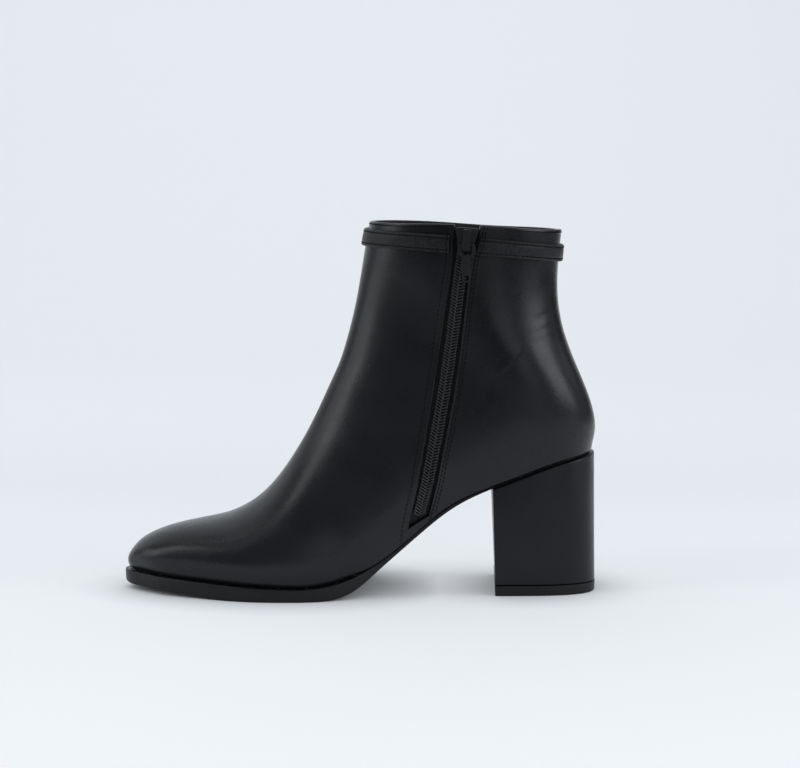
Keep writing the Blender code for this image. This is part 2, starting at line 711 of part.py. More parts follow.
def make_pull_tab(material, slider_place):
    """The tab hangs from its eye bar, whose axis is the object's own X axis."""
    pivot = Matrix.Translation(Vector((PIVOT_ACROSS, PIVOT_UP, PIVOT_OUT)) * MM)
    frame = slider_place @ pivot @ Matrix.Rotation(math.radians(TAB_LEAN), 4, "Z")
    bar = TAB_THICK / 2
    eye_foot = -bar - TAB_HOLE_LENGTH
    neck = eye_foot - TAB_SHOULDER
    outline = [(TAB_EYE_HALF, bar), (-TAB_EYE_HALF, bar), (-TAB_EYE_HALF, eye_foot), (-TAB_NECK_HALF, neck),
               (-TAB_TIP_HALF, -TAB_LENGTH), (TAB_TIP_HALF, -TAB_LENGTH), (TAB_NECK_HALF, neck),
               (TAB_EYE_HALF, eye_foot)]
    tab = prism("zip_pull_tab", outline, -bar, bar, material, frame)
    eye_outline = box_outline(TAB_HOLE_HALF, eye_foot, -bar)
    eye = prism("eye", eye_outline, -TAB_THICK, TAB_THICK, material, frame)
    tip_low = -TAB_LENGTH + TAB_TIP_BAR
    tip_outline = box_outline(TAB_TIP_HOLE_HALF, tip_low, tip_low + TAB_TIP_HOLE_LENGTH)
    tip_hole = prism("tip_hole", tip_outline, -TAB_THICK, TAB_THICK, material, frame)
    join_or_cut(tab, eye, "DIFFERENCE")
    join_or_cut(tab, tip_hole, "DIFFERENCE")
    return tab


def main():
    for obj in list(bpy.data.objects):
        bpy.data.objects.remove(obj)
    leather = make_material("black_leather", (0.012, 0.012, 0.013), 0.42)
    strap_leather = make_material("strap_leather", (0.013, 0.013, 0.014), 0.5)
    sole_rubber = make_material("sole_rubber", (0.014, 0.014, 0.015), 0.6)
    heel_cover = make_material("heel_cover", (0.013, 0.013, 0.014), 0.45)
    lining = make_material("lining", (0.03, 0.029, 0.028), 0.8)
    tape = make_material("zip_tape", (0.008, 0.008, 0.009), 0.9)
    coil = make_material("zip_coil", (0.012, 0.012, 0.013), 0.4)
    metal = make_material("black_metal", (0.02, 0.02, 0.021), 0.4, 0.6)
    make_upper(leather)
    make_outsole(sole_rubber)
    make_insole(lining)
    make_heel(heel_cover)
    make_top_piece(sole_rubber)
    make_strap(strap_leather)
    make_zip_tapes(tape)
    make_zip_coils(coil)
    slider_place = slider_frame()
    make_slider(metal, slider_place)
    make_pull_tab(metal, slider_place)


main()
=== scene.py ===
"""Looks of a right-foot ankle boot: leather, zip, stitches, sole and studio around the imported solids.

The toe points to -X, the heel to +X, the inside of the foot (the zip side) to -Y, and the floor is Z = 0.
Sizes are in millimetres and are turned into metres where a mesh is made; materials and studio are in metres.
"""

import math

import bmesh
import bpy
import numpy as np
from mathutils import Matrix, Vector


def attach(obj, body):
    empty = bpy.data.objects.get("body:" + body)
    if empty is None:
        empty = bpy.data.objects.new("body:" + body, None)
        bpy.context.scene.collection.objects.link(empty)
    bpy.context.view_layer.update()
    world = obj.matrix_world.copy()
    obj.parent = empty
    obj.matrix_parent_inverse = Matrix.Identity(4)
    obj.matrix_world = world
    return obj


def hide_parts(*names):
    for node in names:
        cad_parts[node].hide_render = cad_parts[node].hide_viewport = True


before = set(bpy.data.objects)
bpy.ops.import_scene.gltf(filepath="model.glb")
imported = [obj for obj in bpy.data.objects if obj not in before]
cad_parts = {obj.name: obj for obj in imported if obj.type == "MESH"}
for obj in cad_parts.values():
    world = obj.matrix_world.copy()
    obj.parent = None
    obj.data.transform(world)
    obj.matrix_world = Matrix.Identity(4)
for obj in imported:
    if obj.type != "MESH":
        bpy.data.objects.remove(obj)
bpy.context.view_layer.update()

MM = 0.001
BOOT, TAB = "boot", "pull_tab"

# Driving sizes of the boot, the same as its solids have
CENTRE = Vector((-0.2, 0.7, 0.0))
WALL = 2.0
GAP = 0.3
TOE_SWING = 2.0
SWING_START_X = -20.0
TOE_X = -116.8
RIDGE_LEAN = 3.0
LEAN_END = 0.85
LEDGE = 2.6
SHANK_INSET = 1.3
LEDGE_END_X, INSET_START_X = -8.0, 13.0
INSOLE_THICK = 2.5
INSOLE_INSET = WALL + 1.0
BREAST_TOP_X, BREAST_FOOT_X = 65.6, 67.7
BREAST_SKEW = 1.7
HEEL_BACK_FOOT_X = 119.0
HEEL_FOOT_HALF = 26.0
HEEL_SQUARENESS = 3.4
HEEL_FLARE = 1.3
TOP_PIECE_THICK = 5.15
ZIP_TOP_X, ZIP_TOP_Z = 52.9, 184.6
ZIP_RAKE = 0.152
SLIT_HALF = 4.85
ZIP_BOW, SLIT_BOW = 1.25, 0.6
BOW_LOW_Z, BOW_HIGH_Z = 44.0, 172.0
FOOT_BEND, FOOT_BEND_Z, FOOT_BEND_LENGTH = 1.2, 60.0, 25.0
FRONT_FLARE, REAR_FLARE = 1.25, 1.9
FLARE_START_Z, FLARE_END_Z = 167.0, 179.0
SLIT_FOOT = 0.024
TAPE_LAP = 6.0
TAPE_THICK, TAPE_CLEAR = 0.8, 0.45
TAPE_SPAN = (0.016, 0.999)
COIL_THICK = 1.5
COIL_SPAN = (0.036, 0.985)
STRAP_TOP_Z, STRAP_FRONT_X = 182.0, 2.0
STRAP_FALL, STRAP_BEND = 0.018, 0.00062
STRAP_HEIGHT, STRAP_THICK = 8.6, 1.9
STRAP_FRONT_CLEAR, STRAP_REAR_CLEAR = 1.5, 0.4
STRAP_SEARCH = (0.7, 1.05)
SLIDER_Z = 178.3
SLIDER_LEAN, SLIDER_SHIFT = 4.0, 0.5
PIVOT_ACROSS, PIVOT_UP, PIVOT_OUT = 0.35, -2.6, 2.2
TAB_LEAN = 4.0
TAB_THICK = 0.9

# Sole seen from the side. Columns: place along the boot, height of the top face, thickness below it
SOLE_LINE = (
    (-119.7, 10.2, 7.2),
    (-94.0, 9.4, 7.3),
    (-66.0, 8.0, 8.1),
    (-42.0, 6.9, 7.2),
    (-21.0, 7.0, 7.0),
    (-3.0, 11.2, 7.4),
    (11.8, 19.0, 3.9),
    (28.0, 32.0, 2.8),
    (45.0, 45.4, 2.4),
    (64.8, 54.9, 1.3),
    (80.0, 60.5, 1.0),
    (97.0, 66.5, 1.0),
    (118.0, 71.0, 1.0),
)

# Sections of the last, from toe to collar, as the solids have them
SECTION_COLUMNS = (
    "ridge_x", "ridge_z", "base_x", "back_z", "medial", "lateral", "feather", "widest", "crown",
)
SECTIONS = (
    (-116.8, 10.1, -116.8, None, 0.0, 0.0, 0.95, 0.62, -0.10),
    (-117.9, 14.0, -114.8, None, 5.6, 5.6, 0.95, 0.62, -0.10),
    (-116.2, 19.0, -109.2, None, 11.6, 11.6, 0.95, 0.62, -0.10),
    (-110.6, 25.0, -100.4, None, 19.4, 19.6, 0.95, 0.64, -0.08),
    (-98.0, 30.9, -87.8, None, 26.5, 27.1, 0.95, 0.66, -0.05),
    (-81.0, 34.9, -70.6, None, 33.8, 34.8, 0.945, 0.69, 0.00),
    (-66.0, 38.4, -55.2, None, 39.2, 40.0, 0.94, 0.71, 0.05),
    (-54.0, 44.7, -41.0, None, 41.5, 42.7, 0.93, 0.72, 0.10),
    (-42.6, 55.5, -22.5, None, 41.4, 43.4, 0.915, 0.74, 0.16),
    (-31.2, 71.9, -2.0, None, 37.1, 40.4, 0.85, 0.74, 0.22),
    (-21.5, 90.0, 20.5, None, 33.9, 37.0, 0.80, 0.74, 0.24),
    (-14.2, 105.8, 47.0, None, 32.6, 34.8, 0.80, 0.725, 0.17),
    (-8.4, 119.9, 75.5, None, 32.3, 33.4, 0.845, 0.70, 0.08),
    (-4.6, 133.2, 99.8, None, 32.2, 32.7, 0.735, 0.68, -0.02),
    (-2.1, 144.0, 117.2, None, 32.2, 32.5, 0.0, 0.66, -0.07),
    (-0.3, 153.4, 118.9, 82.0, 32.4, 32.6, 0.0, 0.63, -0.08),
    (1.1, 161.8, 114.6, 100.3, 32.8, 32.8, 0.0, 0.59, -0.06),
    (2.4, 170.2, 105.7, 121.6, 33.1, 33.1, 0.0, 0.545, -0.03),
    (3.6, 177.4, 99.7, 145.0, 33.6, 33.6, 0.0, 0.52, 0.00),
    (5.2, 185.3, 101.0, 181.0, 34.4, 34.4, 0.0, 0.50, 0.00),
)
HEEL_BACK_ROW = 14

# How finely the upper is followed
TOE_ROWS, FOOT_ROWS, SHAFT_ROWS = 80, 4, 120
FRONT_COLUMNS, BACK_COLUMNS, BRIDGE_COLUMNS = 50, 58, 6
TOE_CROWDING, RIB_CROWDING, EDGE_CROWDING = 1.35, 1.12, 1.4
FINE_STEPS = 400

# Leather's relief on the upper
FOLD_RISE, FOLD_WIDTH = 0.4, 1.6  # the turned edges of the slit
FOLD_REACH = 0.5  # how far past the slit's edge they still count
SEAM_DEPTH, SEAM_WIDTH = 0.42, 0.6  # the groove a row of stitches pulls in
FRONT_SEAMS, REAR_SEAMS = (2.9,), (1.1, 2.6)  # distances of the stitch rows from the slit
FEATHER_ROUND, FEATHER_TUCK = 0.9, 0.25  # the upper's foot turns in over the sole
RIM_ROUND, RIM_STEPS = 0.4, 6  # how far the rounded edges of collar and slit stand out, and their steps
WAVES = ((61.0, 37.0, 0.03, 0.4), (43.0, -71.0, 0.03, 2.1))  # lengths, height, phase
FRONT_LIFT, REAR_LIFT = 1.6, 1.7  # how far the collar rises towards the zip on its two sides
FRONT_LIFT_LENGTH, REAR_LIFT_LENGTH, LIFT_START_Z = 24.0, 30.0, 160.0
FAR_DROP, FAR_DROP_X, FAR_DROP_LENGTH = 0.9, 68.0, 25.0  # how far the other side's collar dips

# Creases as soft lines in the side view. Columns: side, first x and z, last x and z, bow, width, height
CREASES = (
    (-1, 67.0, 111.0, 84.0, 132.0, -1.0, 1.5, 0.23),
    (-1, 82.0, 131.0, 98.0, 137.5, 1.0, 1.3, 0.22),
    (-1, 80.0, 126.5, 100.0, 132.0, 1.5, 1.6, 0.18),
    (-1, 84.0, 136.0, 98.0, 143.0, 0.5, 1.2, -0.14),
    (1, 66.0, 112.0, 86.0, 133.0, -1.5, 1.8, 0.25),
    (1, 82.0, 131.0, 99.0, 138.0, 1.0, 1.4, 0.20),
    (-1, -70.0, 36.5, -59.0, 33.0, 1.0, 1.4, -0.25),
    (-1, -66.5, 37.5, -54.0, 33.5, 1.0, 1.3, 0.22),
    (-1, -61.0, 40.0, -50.0, 34.5, 1.0, 1.4, -0.18),
    (1, -70.0, 36.5, -57.0, 31.0, 1.0, 1.6, -0.25),
    (1, -65.0, 38.0, -52.0, 32.0, 1.0, 1.5, 0.20),
)
CREASE_FADE = 0.4  # share of a crease's length over which it fades at each end


# Curves

def natural_spline(knots, values):
    """A smooth cubic through values at knots, as a function."""
    knots = np.asarray(knots, float)
    values = np.asarray(values, float)
    step = np.diff(knots)
    last = len(knots) - 1
    matrix = np.eye(last + 1)
    right = np.zeros_like(values)
    for i in range(1, last):
        matrix[i, i - 1 : i + 2] = step[i - 1], 2 * (step[i - 1] + step[i]), step[i]
        right[i] = 6 * ((values[i + 1] - values[i]) / step[i] - (values[i] - values[i - 1]) / step[i - 1])
    bend = np.linalg.solve(matrix, right)

    def at(where):
        where = np.asarray(where, float)
        i = np.clip(np.searchsorted(knots, where) - 1, 0, last - 1)
        shape = where.shape + (1,) * (values.ndim - 1)
        width = step[i].reshape(shape)
        after = ((where - knots[i]) / step[i]).reshape(shape)
        before = 1 - after
        curve = (before**3 - before) * bend[i] + (after**3 - after) * bend[i + 1]
        return before * values[i] + after * values[i + 1] + curve * width**2 / 6

    return at


def smooth_step(value):
    value = np.clip(value, 0, 1)
    return value * value * (3 - 2 * value)


def bell(distance, width):
    return np.exp(-((distance / width) ** 2))


def unit(vectors):
    """The same directions with length 1."""
    return vectors / np.linalg.norm(vectors, axis=-1, keepdims=True)


def bisect(function, low, high, steps=40):
    """Where the function changes from negative to positive, for every entry of two arrays of bounds."""
    low = np.array(low, float)
    high = np.array(high, float)
    for _ in range(steps):
        middle = (low + high) / 2
        below = function(middle) < 0
        low = np.where(below, middle, low)
        high = np.where(below, high, middle)
    return (low + high) / 2


# Sole line and sections of the last

sole_row = natural_spline([row[0] for row in SOLE_LINE], [row[1:] for row in SOLE_LINE])


def sole_top(x):
    return sole_row(x)[..., 0]


def sole_bottom(x):
    row = sole_row(x)
    return np.maximum(row[..., 0] - row[..., 1], 0.0)


def full_section(row):
    """Ridge point, keel point and shape of a section completed below the sole to a whole rounded loop."""
    named = dict(zip(SECTION_COLUMNS, row))
    ridge = np.array((named["ridge_x"], named["ridge_z"]))
    base_z = float(sole_top(named["base_x"])) if named["back_z"] is None else named["back_z"]
    base = np.array((named["base_x"], base_z))
    if named["medial"] == 0:
        base = ridge
    reach = named["widest"] + (1 - named["widest"]) / math.sqrt(1 - named["feather"] ** 2)
    keel = ridge + (base - ridge) * reach
    return (*ridge, *keel, named["medial"], named["lateral"], named["widest"] / reach, named["crown"])


def section_path(rows):
    moves = np.diff(np.array(rows)[:, :4], axis=0)
    lengths = (np.hypot(moves[:, 0], moves[:, 1]) + np.hypot(moves[:, 2], moves[:, 3])) / 2
    places = np.concatenate([[0], np.cumsum(lengths)])
    return places / places[-1]


FULL_SECTIONS = [full_section(row) for row in SECTIONS]
PLACES = section_path(FULL_SECTIONS)
HEEL_BACK = PLACES[HEEL_BACK_ROW]
section_at = natural_spline(PLACES, FULL_SECTIONS)


def side_point(place, angle):
    """x and z of a point of the last: angle 0 is the ridge, half a turn is the keel."""
    row = section_at(place)
    middle = row[..., 6]
    depth = np.where(angle <= np.pi / 2, middle * (1 - np.cos(angle)), middle - (1 - middle) * np.cos(angle))
    x = row[..., 0] + (row[..., 2] - row[..., 0]) * depth
    z = row[..., 1] + (row[..., 3] - row[..., 1]) * depth
    return x, z


def last_point(place, angle, side):
    """A point of the last's surface; side is -1 on the inside of the foot and 1 on the outside."""
    place, angle = np.broadcast_arrays(np.asarray(place, float), np.asarray(angle, float))
    row = section_at(place)
    x, z = side_point(place, angle)
    upper_half = np.where(angle <= np.pi / 2, np.cos(angle) ** 2, 0)
    half = np.where(np.asarray(side) < 0, row[..., 4], row[..., 5])
    swing = -TOE_SWING * smooth_step((SWING_START_X - x) / (SWING_START_X - TOE_X))
    lean = -RIDGE_LEAN * np.sin(np.pi * np.clip(place / LEAN_END, 0, 1)) * upper_half
    y = swing + lean + side * half * np.sin(angle) * (1 - row[..., 7] * upper_half)
    return np.stack([x, y, z], axis=-1)


def last_normal(place, angle, side):
    """The outward direction there."""
    step = 1e-4
    along = last_point(place + step, angle, side) - last_point(place - step, angle, side)
    round_it = last_point(place, angle + step, side) - last_point(place, angle - step, side)
    return unit(np.cross(along, round_it) * np.asarray(side)[..., None])


def offset_point(place, angle, side, out):
    return last_point(place, angle, side) + np.asarray(out)[..., None] * last_normal(place, angle, side)


def feather_angle(place):
    """Angle where the last meets the sole, or half a turn above the sole's back end."""
    place = np.asarray(place, float)

    def depth(angle):
        x, z = side_point(place, angle)
        return sole_top(x) - z

    found = bisect(depth, np.full(place.shape, np.pi / 2), np.full(place.shape, np.pi))
    return np.where(place >= HEEL_BACK, np.pi, found)


def zip_bow(z):
    """0 at the ends of the zip, 1 half way up."""
    return np.sin(np.pi * np.clip((z - BOW_LOW_Z) / (BOW_HIGH_Z - BOW_LOW_Z), 0, 1)) ** 2


def zip_x(z):
    bend = ZIP_BOW * zip_bow(z) - FOOT_BEND * smooth_step((FOOT_BEND_Z - z) / FOOT_BEND_LENGTH)
    return ZIP_TOP_X - ZIP_RAKE * (ZIP_TOP_Z - z) + bend


def slit_spread(z):
    """Share of the flare that the slit's edges have reached at this height."""
    return smooth_step((z - FLARE_START_Z) / (FLARE_END_Z - FLARE_START_Z))


def slit_rear(z):
    return SLIT_HALF + SLIT_BOW * zip_bow(z) + REAR_FLARE * slit_spread(z)


def slit_front(z):
    return -SLIT_HALF - SLIT_BOW * zip_bow(z) - FRONT_FLARE * slit_spread(z)


def behind_line(place, angle, across):
    """How far a point of the last lies behind the line that is this far behind the zip's middle.

    The line's distance is a number, or a function of the height.
    """
    x, z = side_point(place, angle)
    return x - zip_x(z) - (across(z) if callable(across) else across)


def zip_angle(place, across):
    """Angle at which a section meets that line."""
    place = np.asarray(place, float)

    def ahead(angle):
        return behind_line(place, angle, across)

    return bisect(ahead, np.zeros(place.shape), feather_angle(place))


def zip_foot(across):
    """Section on whose feather edge that line ends."""

    def ahead(place):
        return behind_line(place, feather_angle(place), across)

    return float(bisect(ahead, 0.0, HEEL_BACK))


def zip_line(across, span, count, out):
    """Points and outward directions up the zip, this far across it and out from the upper's face.

    The distance out is a number, or a function of the points.
    """
    foot = zip_foot(across)
    place = foot + (1 - foot) * np.linspace(*span, count)
    angle = zip_angle(place, across)
    side = np.full(count, -1.0)
    height = out(last_point(place, angle, side)) if callable(out) else np.full(count, out)
    return offset_point(place, angle, side, height), last_normal(place, angle, side)


def run_along(points):
    """Length along a row of points, from 0."""
    return np.concatenate([[0], np.cumsum(np.linalg.norm(np.diff(points, axis=0), axis=1))])


def respaced(values, where, run):
    """Rows of values at these lengths along a line; run has the length at which each given row lies."""
    return np.stack([np.interp(where, run, column) for column in values.T], axis=1)


def along_line(points, normals, where, step):
    """Points, forward directions and outward directions at these lengths along a row of points."""
    run = run_along(points)
    ahead = respaced(points, where + step, run) - respaced(points, where - step, run)
    return respaced(points, where, run), unit(ahead), respaced(normals, where, run)


def rings_round(line, first, second, radius, sides):
    """A ring of points round each point of a line, in the plane of two directions."""
    turn = 2 * np.pi * np.arange(sides) / sides
    return (line[:, None] + first[:, None] * (np.cos(turn) * radius)[None, :, None]
            + second[:, None] * (np.sin(turn) * radius)[None, :, None])


# Mesh tools

def new_mesh(name, points, faces, *materials):
    """A smooth mesh object from points in millimetres, with its doubled points merged."""
    mesh = bpy.data.meshes.new(name)
    mesh.from_pydata(((np.asarray(points) - CENTRE) * MM).tolist(), [], faces)
    obj = bpy.data.objects.new(name, mesh)
    bpy.context.scene.collection.objects.link(obj)
    for material in materials:
        mesh.materials.append(material)
    work = bmesh.new()
    work.from_mesh(mesh)
    bmesh.ops.remove_doubles(work, verts=work.verts, dist=1e-7)
    bmesh.ops.dissolve_degenerate(work, edges=work.edges, dist=1e-7)
    if all(edge.is_manifold for edge in work.edges):
        bmesh.ops.recalc_face_normals(work, faces=work.faces)
    work.to_mesh(mesh)
    work.free()
    mesh.shade_smooth()
    return obj


def place_piece(obj, slot, *nodes, body=BOOT):
    """Rides a piece on its body and hides the solids it stands for; the finish's slot is not used."""
    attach(obj, body)
    if nodes:
        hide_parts(*nodes)
    return obj


def thicken(obj, thickness, outward, inner_material=0):
    solid = obj.modifiers.new("Thickness", "SOLIDIFY")
    solid.thickness = thickness * MM
    solid.offset = 1 if outward else -1
    solid.use_even_offset = True
    solid.use_quality_normals = True
    solid.material_offset = inner_material


def soften(obj, width, segments=3, angle=40.0):
    """Rounds an object's sharp edges."""
    bevel = obj.modifiers.new("Edges", "BEVEL")
    bevel.width = width * MM
    bevel.segments = segments
    bevel.limit_method = "ANGLE"
    bevel.angle_limit = math.radians(angle)
    bevel.use_clamp_overlap = False
    bevel.harden_normals = True


def strip_faces(first, second, count):
    """Quads between two rows of this many points, which start at these numbers."""
    return [(first + i, first + i + 1, second + i + 1, second + i) for i in range(count - 1)]


def grid_faces(rows, columns, first=0):
    starts = [first + row * columns for row in range(rows)]
    return [face for start in starts[:-1] for face in strip_faces(start, start + columns, columns)]


def tube_faces(rings, sides):
    """Quads of a tube made of rings of points, with both ends closed."""
    faces = []
    for i in range(rings - 1):
        for j in range(sides):
            k = (j + 1) % sides
            faces.append((i * sides + j, i * sides + k, (i + 1) * sides + k, (i + 1) * sides + j))
    faces.append(tuple(range(sides)))
    faces.append(tuple(range((rings - 1) * sides, rings * sides)))
    return faces


def stacked_plate(name, layers, *materials):
    """A closed solid from layers, top first, each a row of inside points and a row of outside points."""
    count = len(layers[0][0])
    points = np.concatenate([rim for layer in layers for rim in layer])
    tops = [2 * level * count for level in range(len(layers))]
    faces = []
    for side in (0, count):
        for above, below in zip(tops, tops[1:]):
            faces += strip_faces(above + side, below + side, count)
    for inside in (tops[0], tops[-1]):
        faces += strip_faces(inside, inside + count, count)
    if np.linalg.norm(layers[0][0][0] - layers[0][1][0]) > GAP:
        faces += [(above, above + count, below + count, below) for above, below in zip(tops, tops[1:])]
    return new_mesh(name, points, faces, *materials)


# Upper

def shaft_levels():
    """Shares of the way from feather edge to collar at which the rows beside the zip lie."""
    below_slit = np.linspace(0, SLIT_FOOT, FOOT_ROWS + 1)[:-1]
    return np.concatenate([below_slit, np.linspace(SLIT_FOOT, 1, SHAFT_ROWS)])


def back_ribs():
    """Places and angles of the ribs from the slit's rear edge to the back line, each from sole to collar."""
    start = zip_foot(SLIT_HALF)
    fine = start + (HEEL_BACK - start) * np.sin(np.linspace(0, np.pi / 2, FINE_STEPS))
    run = run_along(last_point(fine, feather_angle(fine), -1))
    share = (np.linspace(0, 1, BACK_COLUMNS) ** EDGE_CROWDING)[:, None]
    foot = np.interp(share * run[-1], run, fine)
    level = shaft_levels()[None, :] ** RIB_CROWDING
    places = foot + (1 - foot) * level
    front = zip_angle(start + (1 - start) * level, slit_rear)
    bottom = feather_angle(foot)
    top = front[0, -1] + (np.pi - front[0, -1]) * share
    corners = (1 - share) * ((1 - level) * bottom[0] + level * top[0]) + share * np.pi
    angles = (1 - share) * front + share * np.pi + (1 - level) * bottom + level * top - corners
    return places, np.minimum(angles, np.pi)


def upper_sheet():
    """Points and faces of the upper's outer face, open at collar, slit and sole."""
    corner = zip_foot(-SLIT_HALF)
    toe_places = corner * (np.arange(1, TOE_ROWS + 1) / TOE_ROWS) ** TOE_CROWDING
    shaft_places = corner + (1 - corner) * shaft_levels()[1:]
    places = np.concatenate([toe_places, shaft_places])
    edges = np.concatenate([feather_angle(toe_places), zip_angle(shaft_places, slit_front)])
    columns = np.arange(-FRONT_COLUMNS, FRONT_COLUMNS + 1)
    side = np.where(columns < 0, -1, 1)
    share = 1 - (1 - np.abs(columns) / FRONT_COLUMNS) ** EDGE_CROWDING
    front = last_point(places[:, None], edges[:, None] * share, side[None, :])
    points = [last_point(0.0, 0.0, 1)[None, :], front.reshape(-1, 3)]
    width = len(columns)
    faces = [(0, 1 + j, 2 + j) for j in range(width - 1)]
    faces += [face[::-1] for face in grid_faces(len(places), width, 1)]
    rows = FOOT_ROWS + SHAFT_ROWS
    count = 1 + front.shape[0] * width

    def front_edge(column):
        return [1 + (TOE_ROWS - 1 + row) * width + column for row in range(rows)]

    edge_places, edge_angles = places[TOE_ROWS - 1 :], edges[TOE_ROWS - 1 :]
    rib_places, rib_angles = back_ribs()

    def add_column(column_places, column_angles, column_side):
        nonlocal count
        points.append(last_point(column_places, column_angles, column_side))
        count += len(column_places)
        return list(range(count - len(column_places), count))

    def add_bridge(t, column_side, last_row):
        bridge_places = (1 - t) * edge_places + t * rib_places[0]
        bridge_angles = (1 - t) * edge_angles + t * rib_angles[0]
        return add_column(bridge_places[:last_row], bridge_angles[:last_row], column_side)

    between = np.arange(1, BRIDGE_COLUMNS) / BRIDGE_COLUMNS
    ribs = [front_edge(0)[: FOOT_ROWS + 1]]
    ribs += [add_bridge(t, -1, FOOT_ROWS + 1) for t in between]
    for rib in range(BACK_COLUMNS):
        ribs.append(add_column(rib_places[rib], rib_angles[rib], -1))
    for rib in reversed(range(BACK_COLUMNS - 1)):
        ribs.append(add_column(rib_places[rib], rib_angles[rib], 1))
    ribs += [add_bridge(t, 1, rows) for t in between[::-1]]
    ribs.append(front_edge(width - 1))
    for first, second in zip(ribs, ribs[1:]):
        for row in range(min(len(first), len(second)) - 1):
            faces.append((second[row], second[row + 1], first[row + 1], first[row]))
    points = np.concatenate(points)
    points[:, 2] += collar_lift(*points.T)
    return points, faces


def collar_lift(x, y, z):
    """How far the top of the shaft is drawn up beside the zip and dips on the other side."""
    across = x - zip_x(z)
    lift = np.where(across < 0, FRONT_LIFT * bell(across + SLIT_HALF, FRONT_LIFT_LENGTH),
                    REAR_LIFT * bell(across - SLIT_HALF, REAR_LIFT_LENGTH))
    dip = FAR_DROP * bell(x - FAR_DROP_X, FAR_DROP_LENGTH)
    share = smooth_step((z - LIFT_START_Z) / (ZIP_TOP_Z - LIFT_START_Z))
    return np.where(y < 0, lift, -dip) * share


def slit_relief(x, z):
    """Turned edges of the slit and the grooves of their stitch rows."""
    across = x - zip_x(z)
    height = np.zeros_like(x)
    for outside, seams in ((slit_front(z) - across, FRONT_SEAMS), (across - slit_rear(z), REAR_SEAMS)):
        near = outside > -FOLD_REACH
        rise = FOLD_RISE * (1 - smooth_step((outside - seams[-1]) / FOLD_WIDTH))
        for seam in seams:
            rise = rise - SEAM_DEPTH * bell(outside - seam, SEAM_WIDTH)
        height = height + np.where(near, rise, 0)
    return height


def crease_relief(x, z, side):
    height = np.zeros_like(x)
    for crease_side, x1, z1, x2, z2, bow, width, rise in CREASES:
        length = math.hypot(x2 - x1, z2 - z1)
        forward = np.array((x2 - x1, z2 - z1)) / length
        along = ((x - x1) * forward[0] + (z - z1) * forward[1]) / length
        off = (z - z1) * forward[0] - (x - x1) * forward[1] - bow * 4 * along * (1 - along)
        fade = smooth_step(along / CREASE_FADE) * smooth_step((1 - along) / CREASE_FADE)
        height += np.where(side == crease_side, rise * bell(off, width) * fade, 0)
    return height


def leather_relief(points):
    """How far the leather stands out from the last at points of its surface."""
    x, y, z = points.T
    side = np.where(y < 0, -1, 1)
    height = crease_relief(x, z, side)
    height += np.where(side < 0, slit_relief(x, z), 0)
    for length_x, length_z, rise, phase in WAVES:
        height += rise * np.sin(2 * np.pi * (x / length_x + z / length_z) + phase + side)
    above = np.clip((z - sole_top(x)) / FEATHER_ROUND, 0, 1)
    return height * smooth_step(above) - FEATHER_TUCK * (1 - above) ** 2


def vertex_table(mesh, name):
    """A vector of every vertex as rows of a table."""
    table = np.empty(3 * len(mesh.vertices), np.float32)
    mesh.vertices.foreach_get(name, table)
    return table.reshape(-1, 3).astype(float)


def open_edges(faces):
    """Edges that belong to one face only, in that face's direction."""
    directed = {(a, b) for face in faces for a, b in zip(face, face[1:] + face[:1])}
    return [(a, b) for a, b in directed if (b, a) not in directed]


def rim_rows(outer, inner, normals, edges):
    """Rows of points from the outer to the inner face round a sheet's open edges, bulging outward."""
    out = np.zeros_like(outer)
    for a, b in edges:
        away = unit(np.cross(outer[b] - outer[a], normals[a]))
        out[a] += away
        out[b] += away
    used = sorted({point for edge in edges for point in edge})
    out = unit(out[used])
    x, z = outer[used, 0], outer[used, 2]
    round_share = smooth_step((z - sole_top(x)) / FEATHER_ROUND - 1)[:, None]
    middle, half = (outer + inner)[used] / 2, (outer - inner)[used] / 2
    turns = np.pi * np.arange(1, RIM_STEPS) / RIM_STEPS
    rows = [middle + half * math.cos(t) + out * round_share * RIM_ROUND * math.sin(t) for t in turns]
    return rows, {point: i for i, point in enumerate(used)}


def make_upper(leather, lining):
    """The wall of leather and lining, with rounded edges at collar and slit."""
    sheet = new_mesh("upper_sheet", *upper_sheet())
    normals = vertex_table(sheet.data, "normal")
    points = vertex_table(sheet.data, "co") / MM + np.array(CENTRE)
    faces = [tuple(face.vertices) for face in sheet.data.polygons]
    bpy.data.objects.remove(sheet)
    outer = points + normals * leather_relief(points)[:, None]
    inner = points - normals * WALL
    edges = open_edges(faces)
    rows, row_place = rim_rows(outer, inner, normals, edges)
    count, width = len(points), len(row_place)
    outside = len(faces)
    for a, b in edges:
        firsts, seconds = (
            [point, *(2 * count + row * width + row_place[point] for row in range(len(rows))), count + point]
            for point in (a, b)
        )
        for i in range(len(firsts) - 1):
            faces.append((seconds[i], firsts[i], firsts[i + 1], seconds[i + 1]))
    leather_faces = len(faces)
    faces += [tuple(count + point for point in reversed(face)) for face in faces[:outside]]
    upper = new_mesh("upper_leather", np.concatenate([outer, inner, *rows]), faces, leather, lining)
    materials = np.zeros(len(upper.data.polygons), np.int32)
    materials[leather_faces:] = 1
    upper.data.polygons.foreach_set("material_index", materials)
    place_piece(upper, "black_leather", "upper")


# Sole pieces

